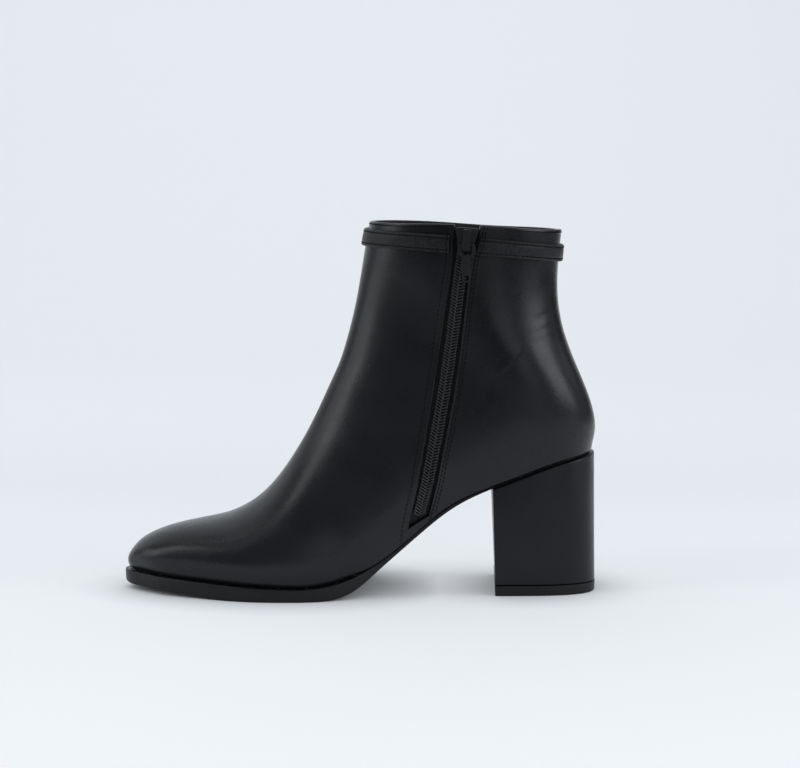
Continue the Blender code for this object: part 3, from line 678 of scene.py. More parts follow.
def feather_rims(out, places):
    """Inside and outside rows of plan points that lie this far out from the feather edge."""
    angles = feather_angle(places)
    inside = last_point(places, angles, -1)
    outside = last_point(places, angles, 1)
    loop = np.concatenate([inside, outside[::-1]])
    ahead, behind = np.roll(loop, -1, axis=0), np.roll(loop, 1, axis=0)
    ahead[-1], behind[0] = loop[1], loop[-2]
    ahead[len(inside) - 1], behind[len(inside)] = loop[len(inside) + 1], loop[len(inside) - 2]
    tangent = (ahead - behind)[:, :2]
    normal = unit(np.stack([tangent[:, 1], -tangent[:, 0]], axis=1))
    distance = out(loop[:, 0]) if callable(out) else np.full(len(loop), out)
    loop[:, :2] += normal * distance[:, None]
    return loop[: len(inside)], loop[len(inside) :][::-1]


def whole_places(count):
    """Places along the whole feather edge, closer together at the toe and at the back."""
    return HEEL_BACK * np.sin(np.pi / 2 * np.linspace(0, 1, count) ** TOE_CROWDING)


def with_height(rim, height):
    rim = rim.copy()
    rim[:, 2] = height(rim[:, 0])
    return rim


def sole_ledge(x):
    return LEDGE - (LEDGE + SHANK_INSET) * smooth_step((x - LEDGE_END_X) / (INSET_START_X - LEDGE_END_X))


# Side of the sole from its top: how far each layer lies in from the outline, and its height
SOLE_STATIONS = 150
SOLE_EDGE = (
    (3.2, 1.0), (0.42, 1.0), (0.28, 0.99), (0.08, 0.955), (0.0, 0.92), (0.0, 0.55), (0.08, 0.25),
    (0.2, 0.12), (0.45, 0.04), (0.8, 0.0), (4.0, 0.0),
)
INSOLE_EDGE = ((0.8, 1.0), (0.3, 0.95), (0.0, 0.75), (0.0, 0.0))


def make_outsole(material):
    layers = []
    for inset, share in SOLE_EDGE:
        rims = feather_rims(lambda x: sole_ledge(x) - inset, whole_places(SOLE_STATIONS))

        def height(x):
            return sole_bottom(x) + (sole_top(x) - GAP - sole_bottom(x)) * share

        layers.append([with_height(rim, height) for rim in rims])
    place_piece(stacked_plate("sole_unit", layers, material), "sole_rubber", "outsole")


def make_insole(material):
    layers = []
    for inset, share in INSOLE_EDGE:
        rims = feather_rims(-INSOLE_INSET - inset, whole_places(SOLE_STATIONS))
        layers.append([with_height(rim, lambda x: sole_top(x) + INSOLE_THICK * share) for rim in rims])
    place_piece(stacked_plate("insole_sock", layers, material), "lining", "insole")


# Heel

HEEL_STATIONS = 56
# Rounded edges of heel and top piece: how far each layer lies in, and how far from the edge's end
HEEL_EDGE = ((0.7, 0.0), (0.3, 0.1), (0.08, 0.35), (0.0, 0.8))
CAP_EDGE = ((0.4, 0.0), (0.12, 0.12), (0.0, 0.4))
CAP_OUT = 0.15  # how far the top piece stands out past the heel's foot
CORNER_ANGLE = math.radians(55)  # edges that turn more than this stay sharp


def spaced(rim, count):
    """The same row of points, evenly spaced along its length."""
    run = run_along(rim)
    return respaced(rim, np.linspace(0, run[-1], count), run)


def heel_seat_rims(inset):
    rims = feather_rims(HEEL_FLARE - inset, whole_places(FINE_STEPS))
    corners = (BREAST_TOP_X, BREAST_TOP_X + BREAST_SKEW)
    return [spaced(with_height(rim[rim[:, 0] > corner], np.zeros_like), HEEL_STATIONS)
            for rim, corner in zip(rims, corners)]


def heel_foot_rims(out):
    """Inside and outside edges of the heel's foot: a D with a flat front."""
    turn = np.linspace(0, np.pi / 2, FINE_STEPS)
    rims = []
    for side, corner in ((-1, BREAST_FOOT_X), (1, BREAST_FOOT_X + BREAST_SKEW)):
        front = corner - out
        x = front + (HEEL_BACK_FOOT_X + out - front) * np.sin(turn) ** (2 / HEEL_SQUARENESS)
        half = (HEEL_FOOT_HALF + out) * np.abs(np.cos(turn)) ** (2 / HEEL_SQUARENESS)
        half[-1] = 0.0
        rims.append(spaced(np.stack([x, side * half, np.zeros_like(x)], axis=1), HEEL_STATIONS))
    return rims


def flat_rims(height, out):
    return [with_height(rim, lambda x: np.full_like(x, height)) for rim in heel_foot_rims(out)]


def make_heel(material):
    layers = []
    for inset, drop in HEEL_EDGE:
        rims = heel_seat_rims(inset)
        layers.append([with_height(rim, lambda x: sole_bottom(x) - GAP - drop) for rim in rims])
    for inset, rise in reversed(HEEL_EDGE):
        layers.append(flat_rims(TOP_PIECE_THICK + GAP + rise, -inset))
    heel = stacked_plate("heel_block", layers, material)
    heel.data.set_sharp_from_angle(angle=CORNER_ANGLE)
    place_piece(heel, "heel_cover", "heel")


def make_top_piece(material):
    layers = [flat_rims(TOP_PIECE_THICK - drop, CAP_OUT - inset) for inset, drop in CAP_EDGE]
    layers += [flat_rims(rise, -inset) for inset, rise in reversed(CAP_EDGE)]
    piece = stacked_plate("heel_cap", layers, material)
    piece.data.set_sharp_from_angle(angle=CORNER_ANGLE)
    place_piece(piece, "sole_rubber", "heel_top_piece")


# Strap

STRAP_COLUMNS = 60
STRAP_ROUNDS = 5  # how often its line and its ends beside the zip are matched
STRAP_CORNER_ANGLE = math.radians(60)  # edges that turn more than this stay sharp
# Outline of the strap's cut, from its top edge round the front: shares of its height and of its thickness
STRAP_CUT = (
    (0.0, 0.35), (0.0, 0.55), (0.03, 0.78), (0.07, 0.93), (0.11, 0.98), (0.17, 0.82), (0.23, 0.96),
    (0.36, 1.0), (0.64, 1.0), (0.77, 0.96), (0.83, 0.82), (0.89, 0.98), (0.94, 0.98), (0.98, 0.85),
    (1.0, 0.6), (1.0, 0.35), (0.97, 0.06), (0.9, 0.0), (0.1, 0.0), (0.03, 0.06),
)
STRAP_SEAMS, STRAP_SEAM_OUT = (0.17, 0.83), 0.93  # where its threads lie, as shares of height and thickness


def strap_top(x):
    back = x - STRAP_FRONT_X
    return STRAP_TOP_Z - STRAP_FALL * back - STRAP_BEND * back**2


def strap_row(drop):
    """Places, angles and sides of a line round the collar, this far below the strap's top edge."""
    turn = np.linspace(0, 1, STRAP_COLUMNS)
    inside, outside = -np.ones(STRAP_COLUMNS), np.ones(2 * STRAP_COLUMNS - 2)
    side = np.concatenate([inside, outside, inside[1:]])
    place = np.ones(len(side))
    for _ in range(STRAP_ROUNDS):
        ends = place[[0, -1]]
        front = zip_angle(ends[0], lambda z: slit_front(z) - STRAP_FRONT_CLEAR)
        rear = zip_angle(ends[1], lambda z: slit_rear(z) + STRAP_REAR_CLEAR)
        outer = np.linspace(0, np.pi, 2 * STRAP_COLUMNS - 1)[1:]
        angle = np.concatenate([front * (1 - turn), outer, np.pi + (rear - np.pi) * turn[1:]])

        def below_line(where):
            x, z = side_point(where, angle)
            return z - strap_top(x) + drop

        place = bisect(below_line, *(np.full(len(side), end) for end in STRAP_SEARCH))
    return place, angle, side


def strap_line(height_share, thick_share):
    place, angle, side = strap_row(STRAP_HEIGHT * height_share)
    out = np.full(len(side), GAP + STRAP_THICK * thick_share)
    return offset_point(place, angle, side, out), last_normal(place, angle, side)


def make_strap(material):
    lines = [strap_line(*corner)[0] for corner in STRAP_CUT]
    rings = np.stack(lines, axis=1)
    faces = tube_faces(len(rings), len(STRAP_CUT))
    strap = new_mesh("strap_band", rings.reshape(-1, 3), faces, material)
    strap.data.set_sharp_from_angle(angle=STRAP_CORNER_ANGLE)
    place_piece(strap, "strap_leather", "collar_strap")


# Stitches

STITCH_SHARE, STITCH_PITCH, STITCH_HALF = 0.72, 2.3, 0.27
# A stitch's own outline: shares of its length and of its thickness
STITCH_RINGS = ((-0.5, 0.35), (-0.42, 0.8), (-0.2, 1.0), (0.2, 1.0), (0.42, 0.8), (0.5, 0.35))
STITCH_SIDES, STITCH_STEP = 7, 0.3
COLLAR_COLUMNS, COLLAR_STEP, COLLAR_CLEAR = 90, 0.002, 1.0
COLLAR_SEAM_DROP, COLLAR_SEAM_OUT, COLLAR_PITCH = 0.9, 0.05, 1.5
SEAM_SPAN, SEAM_ROWS, SEAM_OUT = (0.012, 0.995), 160, 0.08


def stitch_row(points, normals, pitch):
    """Rings of points for each stitch of a row that follows these points."""
    total = run_along(points)[-1]
    count = int(total / pitch)
    middles = (np.arange(count) + 0.5) * total / count
    centre, ahead, up = along_line(points, normals, middles, STITCH_STEP)
    across = unit(np.cross(ahead, up))
    up = np.cross(across, ahead)
    rings = []
    for along, thick in STITCH_RINGS:
        middle = centre + ahead * along * STITCH_SHARE * pitch
        rings.append(rings_round(middle, across, up, thick * STITCH_HALF, STITCH_SIDES))
    return np.stack(rings, axis=1)


def make_stitches(name, rows, slot, material, pitch=STITCH_PITCH):
    points, faces = [], []
    one = tube_faces(len(STITCH_RINGS), STITCH_SIDES)
    first = 0
    for line, normals in rows:
        for stitch in stitch_row(line, normals, pitch):
            points.append(stitch.reshape(-1, 3))
            faces += [tuple(first + i for i in face) for face in one]
            first += len(points[-1])
    return place_piece(new_mesh(name, np.concatenate(points), faces, material), slot)


def seam_height(points):
    """How far the thread beside the zip lies out: in its groove, or on the strap's end."""
    x, z = points[:, 0], points[:, 2]
    top = strap_top(x)
    on_strap = (z < top + STITCH_HALF) & (z > top - STRAP_HEIGHT - STITCH_HALF)
    return np.where(on_strap, GAP + STRAP_THICK, FOLD_RISE - SEAM_DEPTH + SEAM_OUT)


def make_zip_stitches(material):
    rows = []
    for sign, edge, seams in ((-1, slit_front, FRONT_SEAMS), (1, slit_rear, REAR_SEAMS)):
        for seam in seams:
            rows.append(zip_line(lambda z: edge(z) + sign * seam, SEAM_SPAN, SEAM_ROWS, seam_height))
    make_stitches("zip_seam_stitches", rows, "black_leather", material)


def collar_row(drop, out):
    """Points and outward directions of a line round the collar, this far below its edge."""
    front = zip_angle(1.0, lambda z: slit_front(z) - COLLAR_CLEAR)
    rear = zip_angle(1.0, lambda z: slit_rear(z) + COLLAR_CLEAR)
    turns = np.linspace(0, 1, COLLAR_COLUMNS)
    angle = np.concatenate([front * (1 - turns), np.pi * turns[1:], np.pi + (rear - np.pi) * turns[1:]])
    inside, outside = -np.ones(COLLAR_COLUMNS), np.ones(COLLAR_COLUMNS - 1)
    side = np.concatenate([inside, outside, inside[1:]])
    edge, below = last_point(1.0, angle, side), last_point(1.0 - COLLAR_STEP, angle, side)
    place = 1.0 - drop * COLLAR_STEP / np.linalg.norm(edge - below, axis=1)
    points = offset_point(place, angle, side, np.full(len(side), out))
    points[:, 2] += collar_lift(*points.T)
    return points, last_normal(place, angle, side)


def make_collar_stitches(material):
    row = collar_row(COLLAR_SEAM_DROP, COLLAR_SEAM_OUT)
    make_stitches("collar_stitches", [row], "black_leather", material, COLLAR_PITCH)


def make_strap_stitches(material):
    rows = [strap_line(share, STRAP_SEAM_OUT) for share in STRAP_SEAMS]
    make_stitches("strap_stitches", rows, "strap_leather", material)


# Zip

ZIP_ROWS, TAPE_COLUMNS = 120, 10
COIL_ROWS, COIL_PITCH, COIL_STEPS, WIRE_SIDES = 300, 1.5, 16, 6
WIRE_HALF = 0.29
COIL_MIDDLE, COIL_REACH = 1.4, 1.75  # a loop's middle and half width across the zip
COIL_RISE = 0.42  # half its height
COIL_SLANT = 0.5  # how far a loop rises along the zip for each millimetre away from its middle
COIL_STEP_FROM = 0.75  # share of a turn after which the wire passes on to the next loop
COIL_SHIFT = 0.5  # the rear row lies half a loop further up
COIL_REACH_ALONG = 0.5  # the zip's direction at a loop is taken over this length to both sides


def make_zip_tapes(material):
    for name, node, sign in (("tape_front", "zip_tape_front", -1), ("tape_rear", "zip_tape_rear", 1)):
        ends = sorted((sign * (SLIT_HALF + TAPE_LAP), sign * GAP / 2))
        columns = [zip_line(across, TAPE_SPAN, ZIP_ROWS, -(WALL + TAPE_CLEAR))[0]
                   for across in np.linspace(*ends, TAPE_COLUMNS)]
        points = np.array(columns[::-1])
        tape = new_mesh(name, points.reshape(-1, 3), grid_faces(*points.shape[:2]), material)
        thicken(tape, TAPE_THICK, outward=False)
        place_piece(tape, "zip_tape", node)


def make_zip_coils(material):
    base, out = zip_line(0.0, COIL_SPAN, COIL_ROWS, -WALL + COIL_THICK / 2)
    length = run_along(base)[-1]
    loops = int(length / COIL_PITCH)
    turn = np.linspace(0, 2 * np.pi * loops, loops * COIL_STEPS + 1)
    loop, part = np.divmod(turn / (2 * np.pi), 1)
    passed = loop + smooth_step((part - COIL_STEP_FROM) / (1 - COIL_STEP_FROM))
    rows = (("coil_front", "zip_coil_front", -1, 0.0), ("coil_rear", "zip_coil_rear", 1, COIL_SHIFT))
    for name, node, sign, shift in rows:
        where = np.clip((passed + shift) * COIL_PITCH, 0, length)
        middle, ahead, up = along_line(base, out, where, COIL_REACH_ALONG)
        up = unit(up)
        across = np.cross(ahead, up)
        sideways = sign * (COIL_MIDDLE + COIL_REACH * np.cos(turn))
        rise = COIL_SLANT * (np.abs(sideways) - COIL_MIDDLE)
        line = middle + across * sideways[:, None] + ahead * rise[:, None]
        line += up * (COIL_RISE * np.sin(turn))[:, None]
        tangent = unit(np.gradient(line, axis=0))
        first = unit(np.cross(tangent, ahead))
        rings = rings_round(line, first, np.cross(tangent, first), WIRE_HALF, WIRE_SIDES)
        coil = new_mesh(name, rings.reshape(-1, 3), tube_faces(len(rings), WIRE_SIDES), material)
        place_piece(coil, "zip_coil", node)


# Leather stay over the zip's lower end

STAY_FRONT, STAY_REAR, STAY_COLUMNS, STAY_ROWS = -7.0, 4.6, 20, 8
STAY_FOOT, STAY_TOP_FRONT, STAY_TOP_REAR = 0.003, 0.027, 0.019  # shares of the way to the collar
STAY_OUT, STAY_THICK = 0.6, 0.9
STAY_EDGE, STAY_EDGE_ANGLE = 0.25, 60.0


def make_zip_stay(material):
    columns = []
    for across in np.linspace(STAY_REAR, STAY_FRONT, STAY_COLUMNS):
        top = np.interp(across, (STAY_FRONT, STAY_REAR), (STAY_TOP_FRONT, STAY_TOP_REAR))
        columns.append(zip_line(across, (STAY_FOOT, top), STAY_ROWS, STAY_OUT)[0])
    points = np.array(columns)
    stay = new_mesh("zip_stay", points.reshape(-1, 3), grid_faces(*points.shape[:2]), material)
    thicken(stay, STAY_THICK, outward=False)
    soften(stay, STAY_EDGE, angle=STAY_EDGE_ANGLE)
    place_piece(stay, "black_leather")


# Slider and pull tab, in their own frame: across, up the zip, out of the boot

SLIDER_HALF_LENGTH, SLIDER_CROWN_HALF, SLIDER_TAIL_HALF = 5.6, 5.6, 3.6
SLIDER_PLATE, SLIDER_CORNER = 1.3, 1.6
SLIDER_EDGE, TAB_EDGE, EDGE_SEGMENTS = 0.22, 0.2, 2
FLANGE_INNER, FLANGE_OUTER, FLANGE_LOW, FLANGE_DROP = 4.1, 4.7, 1.6, 1.3
JOIN = 0.2
BRIDGE_HALF, BRIDGE_LOW, BRIDGE_HIGH = 1.8, -4.9, 5.0
BRIDGE_FOOT, BRIDGE_UNDER, BRIDGE_TOP, BRIDGE_CORNER = 0.9, 3.1, 4.0, 0.7
TAB_EYE_HALF, TAB_HOLE_HALF, TAB_HOLE_LENGTH, TAB_SHOULDER = 4.25, 2.35, 4.4, 1.5
TAB_LENGTH, TAB_NECK_HALF, TAB_TIP_HALF = 18.2, 2.3, 1.75
TAB_TIP_HOLE_HALF, TAB_TIP_HOLE_LENGTH, TAB_TIP_BAR = 1.15, 2.2, 1.0
TAB_TOP_CORNER, TAB_EYE_CORNER, TAB_CORNER = 0.8, 1.2, 0.6  # radii of the tab's corners
EYE_TOP_CORNER, TIP_HOLE_CORNER = 0.4, 0.5  # and of its holes


def slider_frame():
    """Placing matrix of the slider: across, up the zip and out, with its origin on the coil's face."""

    def below(place):
        return side_point(place, zip_angle(place, 0.0))[1] - SLIDER_Z

    place = bisect(below, *(np.array([end]) for end in STRAP_SEARCH))
    side = np.array([-1.0])
    step = 0.01
    ends = [last_point(where, zip_angle(where, 0.0), side)[0] for where in (place - step, place + step)]
    out = last_normal(place, zip_angle(place, 0.0), side)[0]
    up = ends[1] - ends[0]
    up = unit(up - out * np.dot(up, out))
    across = np.cross(up, out)
    origin = last_point(place, zip_angle(place, 0.0), side)[0] + out * (COIL_THICK - WALL + GAP)
    matrix = Matrix.Identity(4)
    for column, axis in enumerate((across, up, out)):
        matrix.col[column][:3] = axis
    matrix.translation = (Vector(origin) - CENTRE) * MM
    shift = Matrix.Translation((SLIDER_SHIFT * MM, 0, 0))
    return matrix @ shift @ Matrix.Rotation(math.radians(SLIDER_LEAN), 4, "Z")


def rounded_outline(corners, steps=4):
    """An outline with its corners rounded; each corner is across, up and radius."""
    points = []
    count = len(corners)
    for i, (x, y, radius) in enumerate(corners):
        here = Vector((x, y))
        before = (Vector(corners[i - 1][:2]) - here).normalized()
        after = (Vector(corners[(i + 1) % count][:2]) - here).normalized()
        if radius == 0:
            points.append(tuple(here))
            continue
        reach = radius / math.tan(before.angle(after) / 2)
        start, end = here + before * reach, here + after * reach
        for k in range(steps + 1):
            t = k / steps
            points.append(tuple(start * (1 - t) ** 2 + here * 2 * t * (1 - t) + end * t**2))
    return points


def prism(name, outline, low, high, material, matrix):
    """A solid between two heights over an outline given across and up the zip, placed by the matrix."""
    count = len(outline)
    points = [(*point, height) for height in (low, high) for point in outline]
    faces = [tuple(reversed(range(count))), tuple(range(count, 2 * count))]
    faces += [(i, (i + 1) % count, count + (i + 1) % count, count + i) for i in range(count)]
    obj = new_mesh(name, np.array(points) + np.array(CENTRE), faces, material)
    obj.matrix_world = matrix
    return obj


def shaped(obj, joined, cut):
    """The object with helper solids joined on and cut away, as one plain mesh."""
    helpers = []
    for operation, others in (("UNION", joined), ("DIFFERENCE", cut)):
        for other in others:
            boolean = obj.modifiers.new(other.name, "BOOLEAN")
            boolean.operation = operation
            boolean.solver = "EXACT"
            boolean.object = other
            helpers.append(other)
    bpy.context.view_layer.update()
    mesh = bpy.data.meshes.new_from_object(obj.evaluated_get(bpy.context.evaluated_depsgraph_get()))
    obj.modifiers.clear()
    obj.data = mesh
    for other in helpers:
        bpy.data.objects.remove(other)
    mesh.shade_smooth()
    return obj


def box_corners(half, low, high, radius):
    return [(-half, low, radius), (half, low, radius), (half, high, radius), (-half, high, radius)]


def make_slider(material, matrix):
    length, corner = SLIDER_HALF_LENGTH, SLIDER_CORNER
    ends = ((-SLIDER_TAIL_HALF, -length), (SLIDER_TAIL_HALF, -length),
            (SLIDER_CROWN_HALF, length), (-SLIDER_CROWN_HALF, length))
    body = [(*end, corner) for end in ends]
    slider = prism("slider_body", rounded_outline(body), 0.0, SLIDER_PLATE, material, matrix)
    joined = []
    for name, sign in (("flange_front", -1), ("flange_rear", 1)):
        middle = sign * (FLANGE_INNER + FLANGE_OUTER) / 2
        half = (FLANGE_OUTER - FLANGE_INNER) / 2
        flange = rounded_outline(box_corners(half, FLANGE_LOW, length - corner, 0))
        outline = [(middle + x, y) for x, y in flange]
        joined.append(prism(name, outline, -FLANGE_DROP, JOIN, material, matrix))
    bridge_outline = rounded_outline(box_corners(BRIDGE_HALF, BRIDGE_LOW, BRIDGE_HIGH, BRIDGE_CORNER))
    joined.append(prism("bridge", bridge_outline, SLIDER_PLATE - JOIN, BRIDGE_TOP, material, matrix))
    opening_outline = rounded_outline(
        box_corners(2 * BRIDGE_HALF, BRIDGE_LOW + BRIDGE_FOOT, BRIDGE_HIGH - BRIDGE_FOOT, 0))
    cut = [prism("bridge_opening", opening_outline, SLIDER_PLATE, BRIDGE_UNDER, material, matrix)]
    slider = shaped(slider, joined, cut)
    soften(slider, SLIDER_EDGE, segments=EDGE_SEGMENTS)
    place_piece(slider, "black_metal", "zip_slider")


def make_pull_tab(material, slider_place):
    """The tab hangs from its eye bar."""
    pivot = Matrix.Translation(Vector((PIVOT_ACROSS, PIVOT_UP, PIVOT_OUT)) * MM)
    matrix = slider_place @ pivot @ Matrix.Rotation(math.radians(TAB_LEAN), 4, "Z")
    bar = TAB_THICK / 2
    eye_foot = -bar - TAB_HOLE_LENGTH
    neck = eye_foot - TAB_SHOULDER
    half_outline = ((TAB_EYE_HALF, bar, TAB_TOP_CORNER), (TAB_EYE_HALF, eye_foot, TAB_EYE_CORNER),
                    (TAB_NECK_HALF, neck, TAB_CORNER), (TAB_TIP_HALF, -TAB_LENGTH, TAB_CORNER))
    left = [(-half, up, radius) for half, up, radius in half_outline]
    corners = [half_outline[0], *left, *half_outline[:0:-1]]
    tab = prism("pull_tab_plate", rounded_outline(corners), -bar, bar, material, matrix)
    hole = [(-TAB_HOLE_HALF, eye_foot, TAB_EYE_CORNER), (TAB_HOLE_HALF, eye_foot, TAB_EYE_CORNER),
            (TAB_HOLE_HALF, -bar, EYE_TOP_CORNER), (-TAB_HOLE_HALF, -bar, EYE_TOP_CORNER)]
    tip_low = -TAB_LENGTH + TAB_TIP_BAR
    tip = box_corners(TAB_TIP_HOLE_HALF, tip_low, tip_low + TAB_TIP_HOLE_LENGTH, TIP_HOLE_CORNER)
    cut = [prism(name, rounded_outline(outline), -TAB_THICK, TAB_THICK, material, matrix)
           for name, outline in (("eye", hole), ("tip_hole", tip))]
    tab = shaped(tab, [], cut)
    soften(tab, TAB_EDGE, segments=EDGE_SEGMENTS)
    place_piece(tab, "black_metal", "zip_pull_tab", body=TAB)


# Materials

# Leathers. Columns: darkest and lightest colour, roughness, depth of the grain, shine, scale of the mottling
LEATHERS = {
    "smooth_leather": ((0.0058, 0.0060, 0.0071), (0.0076, 0.0079, 0.0093), 0.28, 0.00003, 0.29, 38.0),
    "strap_leather": ((0.0030, 0.0031, 0.0036), (0.0135, 0.0139, 0.016), 0.42, 0.00016, 0.22, 700.0),
    "heel_leather": ((0.0062, 0.0064, 0.0078), (0.0084, 0.0087, 0.0103), 0.36, 0.00002, 0.22, 38.0),
}
# Plain finishes. Columns: darkest and lightest colour, roughness, share of metal, shine
PLAIN_FINISHES = {
    "thread": ((0.002, 0.002, 0.0022), (0.004, 0.004, 0.0044), 0.7, 0.0, 0.12),
    "coil_plastic": ((0.026, 0.0265, 0.0290), (0.038, 0.0385, 0.0425), 0.22, 0.0, 0.5),
    "slider_metal": ((0.02, 0.02, 0.021), (0.03, 0.03, 0.031), 0.36, 0.6, 0.5),
}
WEAR_SCALE, PORE_SCALE, PORE_EDGE, PORE_SHARE, FINE_SCALE = 160.0, 1500.0, 0.12, 0.25, 1300.0
LEATHER_TINT, COAT_WEIGHT, COAT_ROUGH = (0.92, 0.95, 1.0, 1.0), 0.06, 0.22
LINING_DARK, LINING_LIGHT = (0.008, 0.008, 0.009), (0.018, 0.018, 0.019)
LINING_SCALE, LINING_DEPTH = 420.0, 0.00006
RUBBER_DARK, RUBBER_LIGHT, RUBBER_SCALE = (0.006, 0.006, 0.0067), (0.013, 0.013, 0.0142), 140.0
RUBBER_POLISH, RUBBER_SHINE = 0.24, 0.24  # how much smoother the faces are that look up
RIB_SCALE, RIB_DEPTH, RUBBER_GRAIN, RUBBER_GRAIN_SCALE = 70.0, 0.0006, 0.26, 1100.0
TAPE_DARK, TAPE_LIGHT = (0.002, 0.002, 0.0022), (0.006, 0.006, 0.0065)
WEAVE_SCALE, WEAVE_DEPTH = 650.0, 0.00008
PLAIN_SCALE, PLAIN_GRAIN_SCALE, PLAIN_GRAIN = 300.0, 3000.0, 0.00001


class Graph:
    """A material's node tree with short ways to add and join nodes."""

    def __init__(self, name):
        self.material = bpy.data.materials.new(name)
        self.material.use_nodes = True
        self.tree = self.material.node_tree
        self.shader = self.tree.nodes["Principled BSDF"]
        self.where = self.add("ShaderNodeTexCoord").outputs["Object"]

    def add(self, kind, inputs=None, **settings):
        node = self.tree.nodes.new(kind)
        for key, value in settings.items():
            setattr(node, key, value)
        for key, value in (inputs or {}).items():
            self.join(value, node.inputs[key])
        return node

    def join(self, value, socket):
        if isinstance(value, bpy.types.NodeSocket):
            self.tree.links.new(value, socket)
        else:
            socket.default_value = value

    def set(self, **values):
        for key, value in values.items():
            self.join(value, self.shader.inputs[key.replace("_", " ")])

    def noise(self, scale, detail=3.0, rough=0.55):
        inputs = {"Vector": self.where, "Scale": scale, "Detail": detail, "Roughness": rough}
        return self.add("ShaderNodeTexNoise", inputs).outputs["Fac"]

    def cells(self, scale):
        inputs = {"Vector": self.where, "Scale": scale}
        return self.add("ShaderNodeTexVoronoi", inputs, feature="DISTANCE_TO_EDGE").outputs["Distance"]

    def wave(self, scale, distortion, direction="DIAGONAL"):
        inputs = {"Vector": self.where, "Scale": scale, "Distortion": distortion}
        bands = self.add("ShaderNodeTexWave", inputs, wave_type="BANDS", bands_direction=direction)
        return bands.outputs["Fac"]

    def math(self, operation, first, second):
        return self.add("ShaderNodeMath", {0: first, 1: second}, operation=operation).outputs[0]

    def span(self, value, low, high, start=0.0, end=1.0):
        inputs = {"Value": value, "From Min": start, "From Max": end, "To Min": low, "To Max": high}
        return self.add("ShaderNodeMapRange", inputs).outputs["Result"]

    def blend(self, share, first, second):
        mix = self.add("ShaderNodeMix", data_type="RGBA")
        self.join(share, mix.inputs[0])
        for colour, socket in ((first, mix.inputs[6]), (second, mix.inputs[7])):
            self.join((*colour, 1.0) if isinstance(colour, tuple) else colour, socket)
        return mix.outputs[2]

    def bump(self, height, distance, strength=1.0):
        inputs = {"Height": height, "Distance": distance, "Strength": strength}
        self.join(self.add("ShaderNodeBump", inputs).outputs["Normal"], self.shader.inputs["Normal"])


# A patch of fine wrinkles on the inside of the counter: its middle, where it starts to fade and where it ends
WRINKLE_PLACE = (0.092, -0.028, 0.108)
WRINKLE_FADE, WRINKLE_END = 0.008, 0.026
WRINKLE_SCALE, WRINKLE_SHARE = 420.0, 2.6


def leather_material(name, dark, light, rough, grain, shine, spots):
    """Leather with soft mottling, wear, pores and a fine grain, and a patch of wrinkles on the counter."""
    graph = Graph(name)
    mottle = graph.noise(spots, 4.0)
    graph.set(Base_Color=graph.blend(graph.span(mottle, 0, 1, 0.35, 0.65), dark, light))
    wear = graph.noise(WEAR_SCALE, 5.0, 0.65)
    graph.set(Roughness=graph.span(graph.math("ADD", mottle, wear), rough - 0.05, rough + 0.06, 0.7, 1.3))
    pores = graph.math("MULTIPLY", graph.span(graph.cells(PORE_SCALE), 0, 1, 0.0, PORE_EDGE), PORE_SHARE)
    fine = graph.noise(FINE_SCALE, 2.0)
    reach = graph.add("ShaderNodeVectorMath", {0: graph.where, 1: WRINKLE_PLACE}, operation="DISTANCE")
    patch = graph.span(reach.outputs["Value"], WRINKLE_SHARE, 0.0, WRINKLE_FADE, WRINKLE_END)
    wrinkles = graph.math("MULTIPLY", graph.noise(WRINKLE_SCALE, 3.0), patch)
    graph.bump(graph.math("ADD", graph.math("ADD", pores, fine), wrinkles), grain)
    graph.set(Specular_IOR_Level=shine, Specular_Tint=LEATHER_TINT)
    graph.set(Coat_Weight=COAT_WEIGHT, Coat_Roughness=COAT_ROUGH)
    return graph.material


def lining_material():
    graph = Graph("lining_cloth")
    weave = graph.wave(LINING_SCALE, 0.4)
    graph.set(Base_Color=graph.blend(weave, LINING_DARK, LINING_LIGHT))
    graph.bump(weave, LINING_DEPTH)
    graph.set(Roughness=0.85, Sheen_Weight=0.2, Sheen_Roughness=0.5)
    return graph.material


def rubber_material():
    """Black rubber with a fine grain, ribs on the faces that look down and a polish on those that look up."""
    graph = Graph("sole_rubber_black")
    mottle = graph.noise(RUBBER_SCALE, 5.0)
    graph.set(Base_Color=graph.blend(mottle, RUBBER_DARK, RUBBER_LIGHT))
    normal = graph.add("ShaderNodeNewGeometry").outputs["True Normal"]
    facing = graph.add("ShaderNodeSeparateXYZ", {"Vector": normal}).outputs["Z"]
    polish = graph.span(facing, 0.0, RUBBER_POLISH, 0.4, 0.6)
    graph.set(Roughness=graph.math("SUBTRACT", graph.span(mottle, 0.36, 0.56), polish))
    graph.set(Specular_IOR_Level=RUBBER_SHINE)
    ribs = graph.span(graph.wave(RIB_SCALE, 0.0), 0, 1, 0.3, 0.5)
    ribs = graph.math("MULTIPLY", ribs, graph.span(facing, 1, 0, -0.9, -0.7))
    grain = graph.math("MULTIPLY", graph.noise(RUBBER_GRAIN_SCALE, 4.0, 0.7), RUBBER_GRAIN)
    graph.bump(graph.math("ADD", ribs, grain), RIB_DEPTH)
    return graph.material


def tape_material():
    graph = Graph("zip_tape_weave")
    weave = graph.math("MULTIPLY", *(graph.wave(WEAVE_SCALE, 0.3, direction) for direction in ("X", "Z")))
    graph.set(Base_Color=graph.blend(weave, TAPE_DARK, TAPE_LIGHT))
    graph.bump(weave, WEAVE_DEPTH)
    graph.set(Roughness=0.9, Sheen_Weight=0.15, Sheen_Roughness=0.5)
    return graph.material


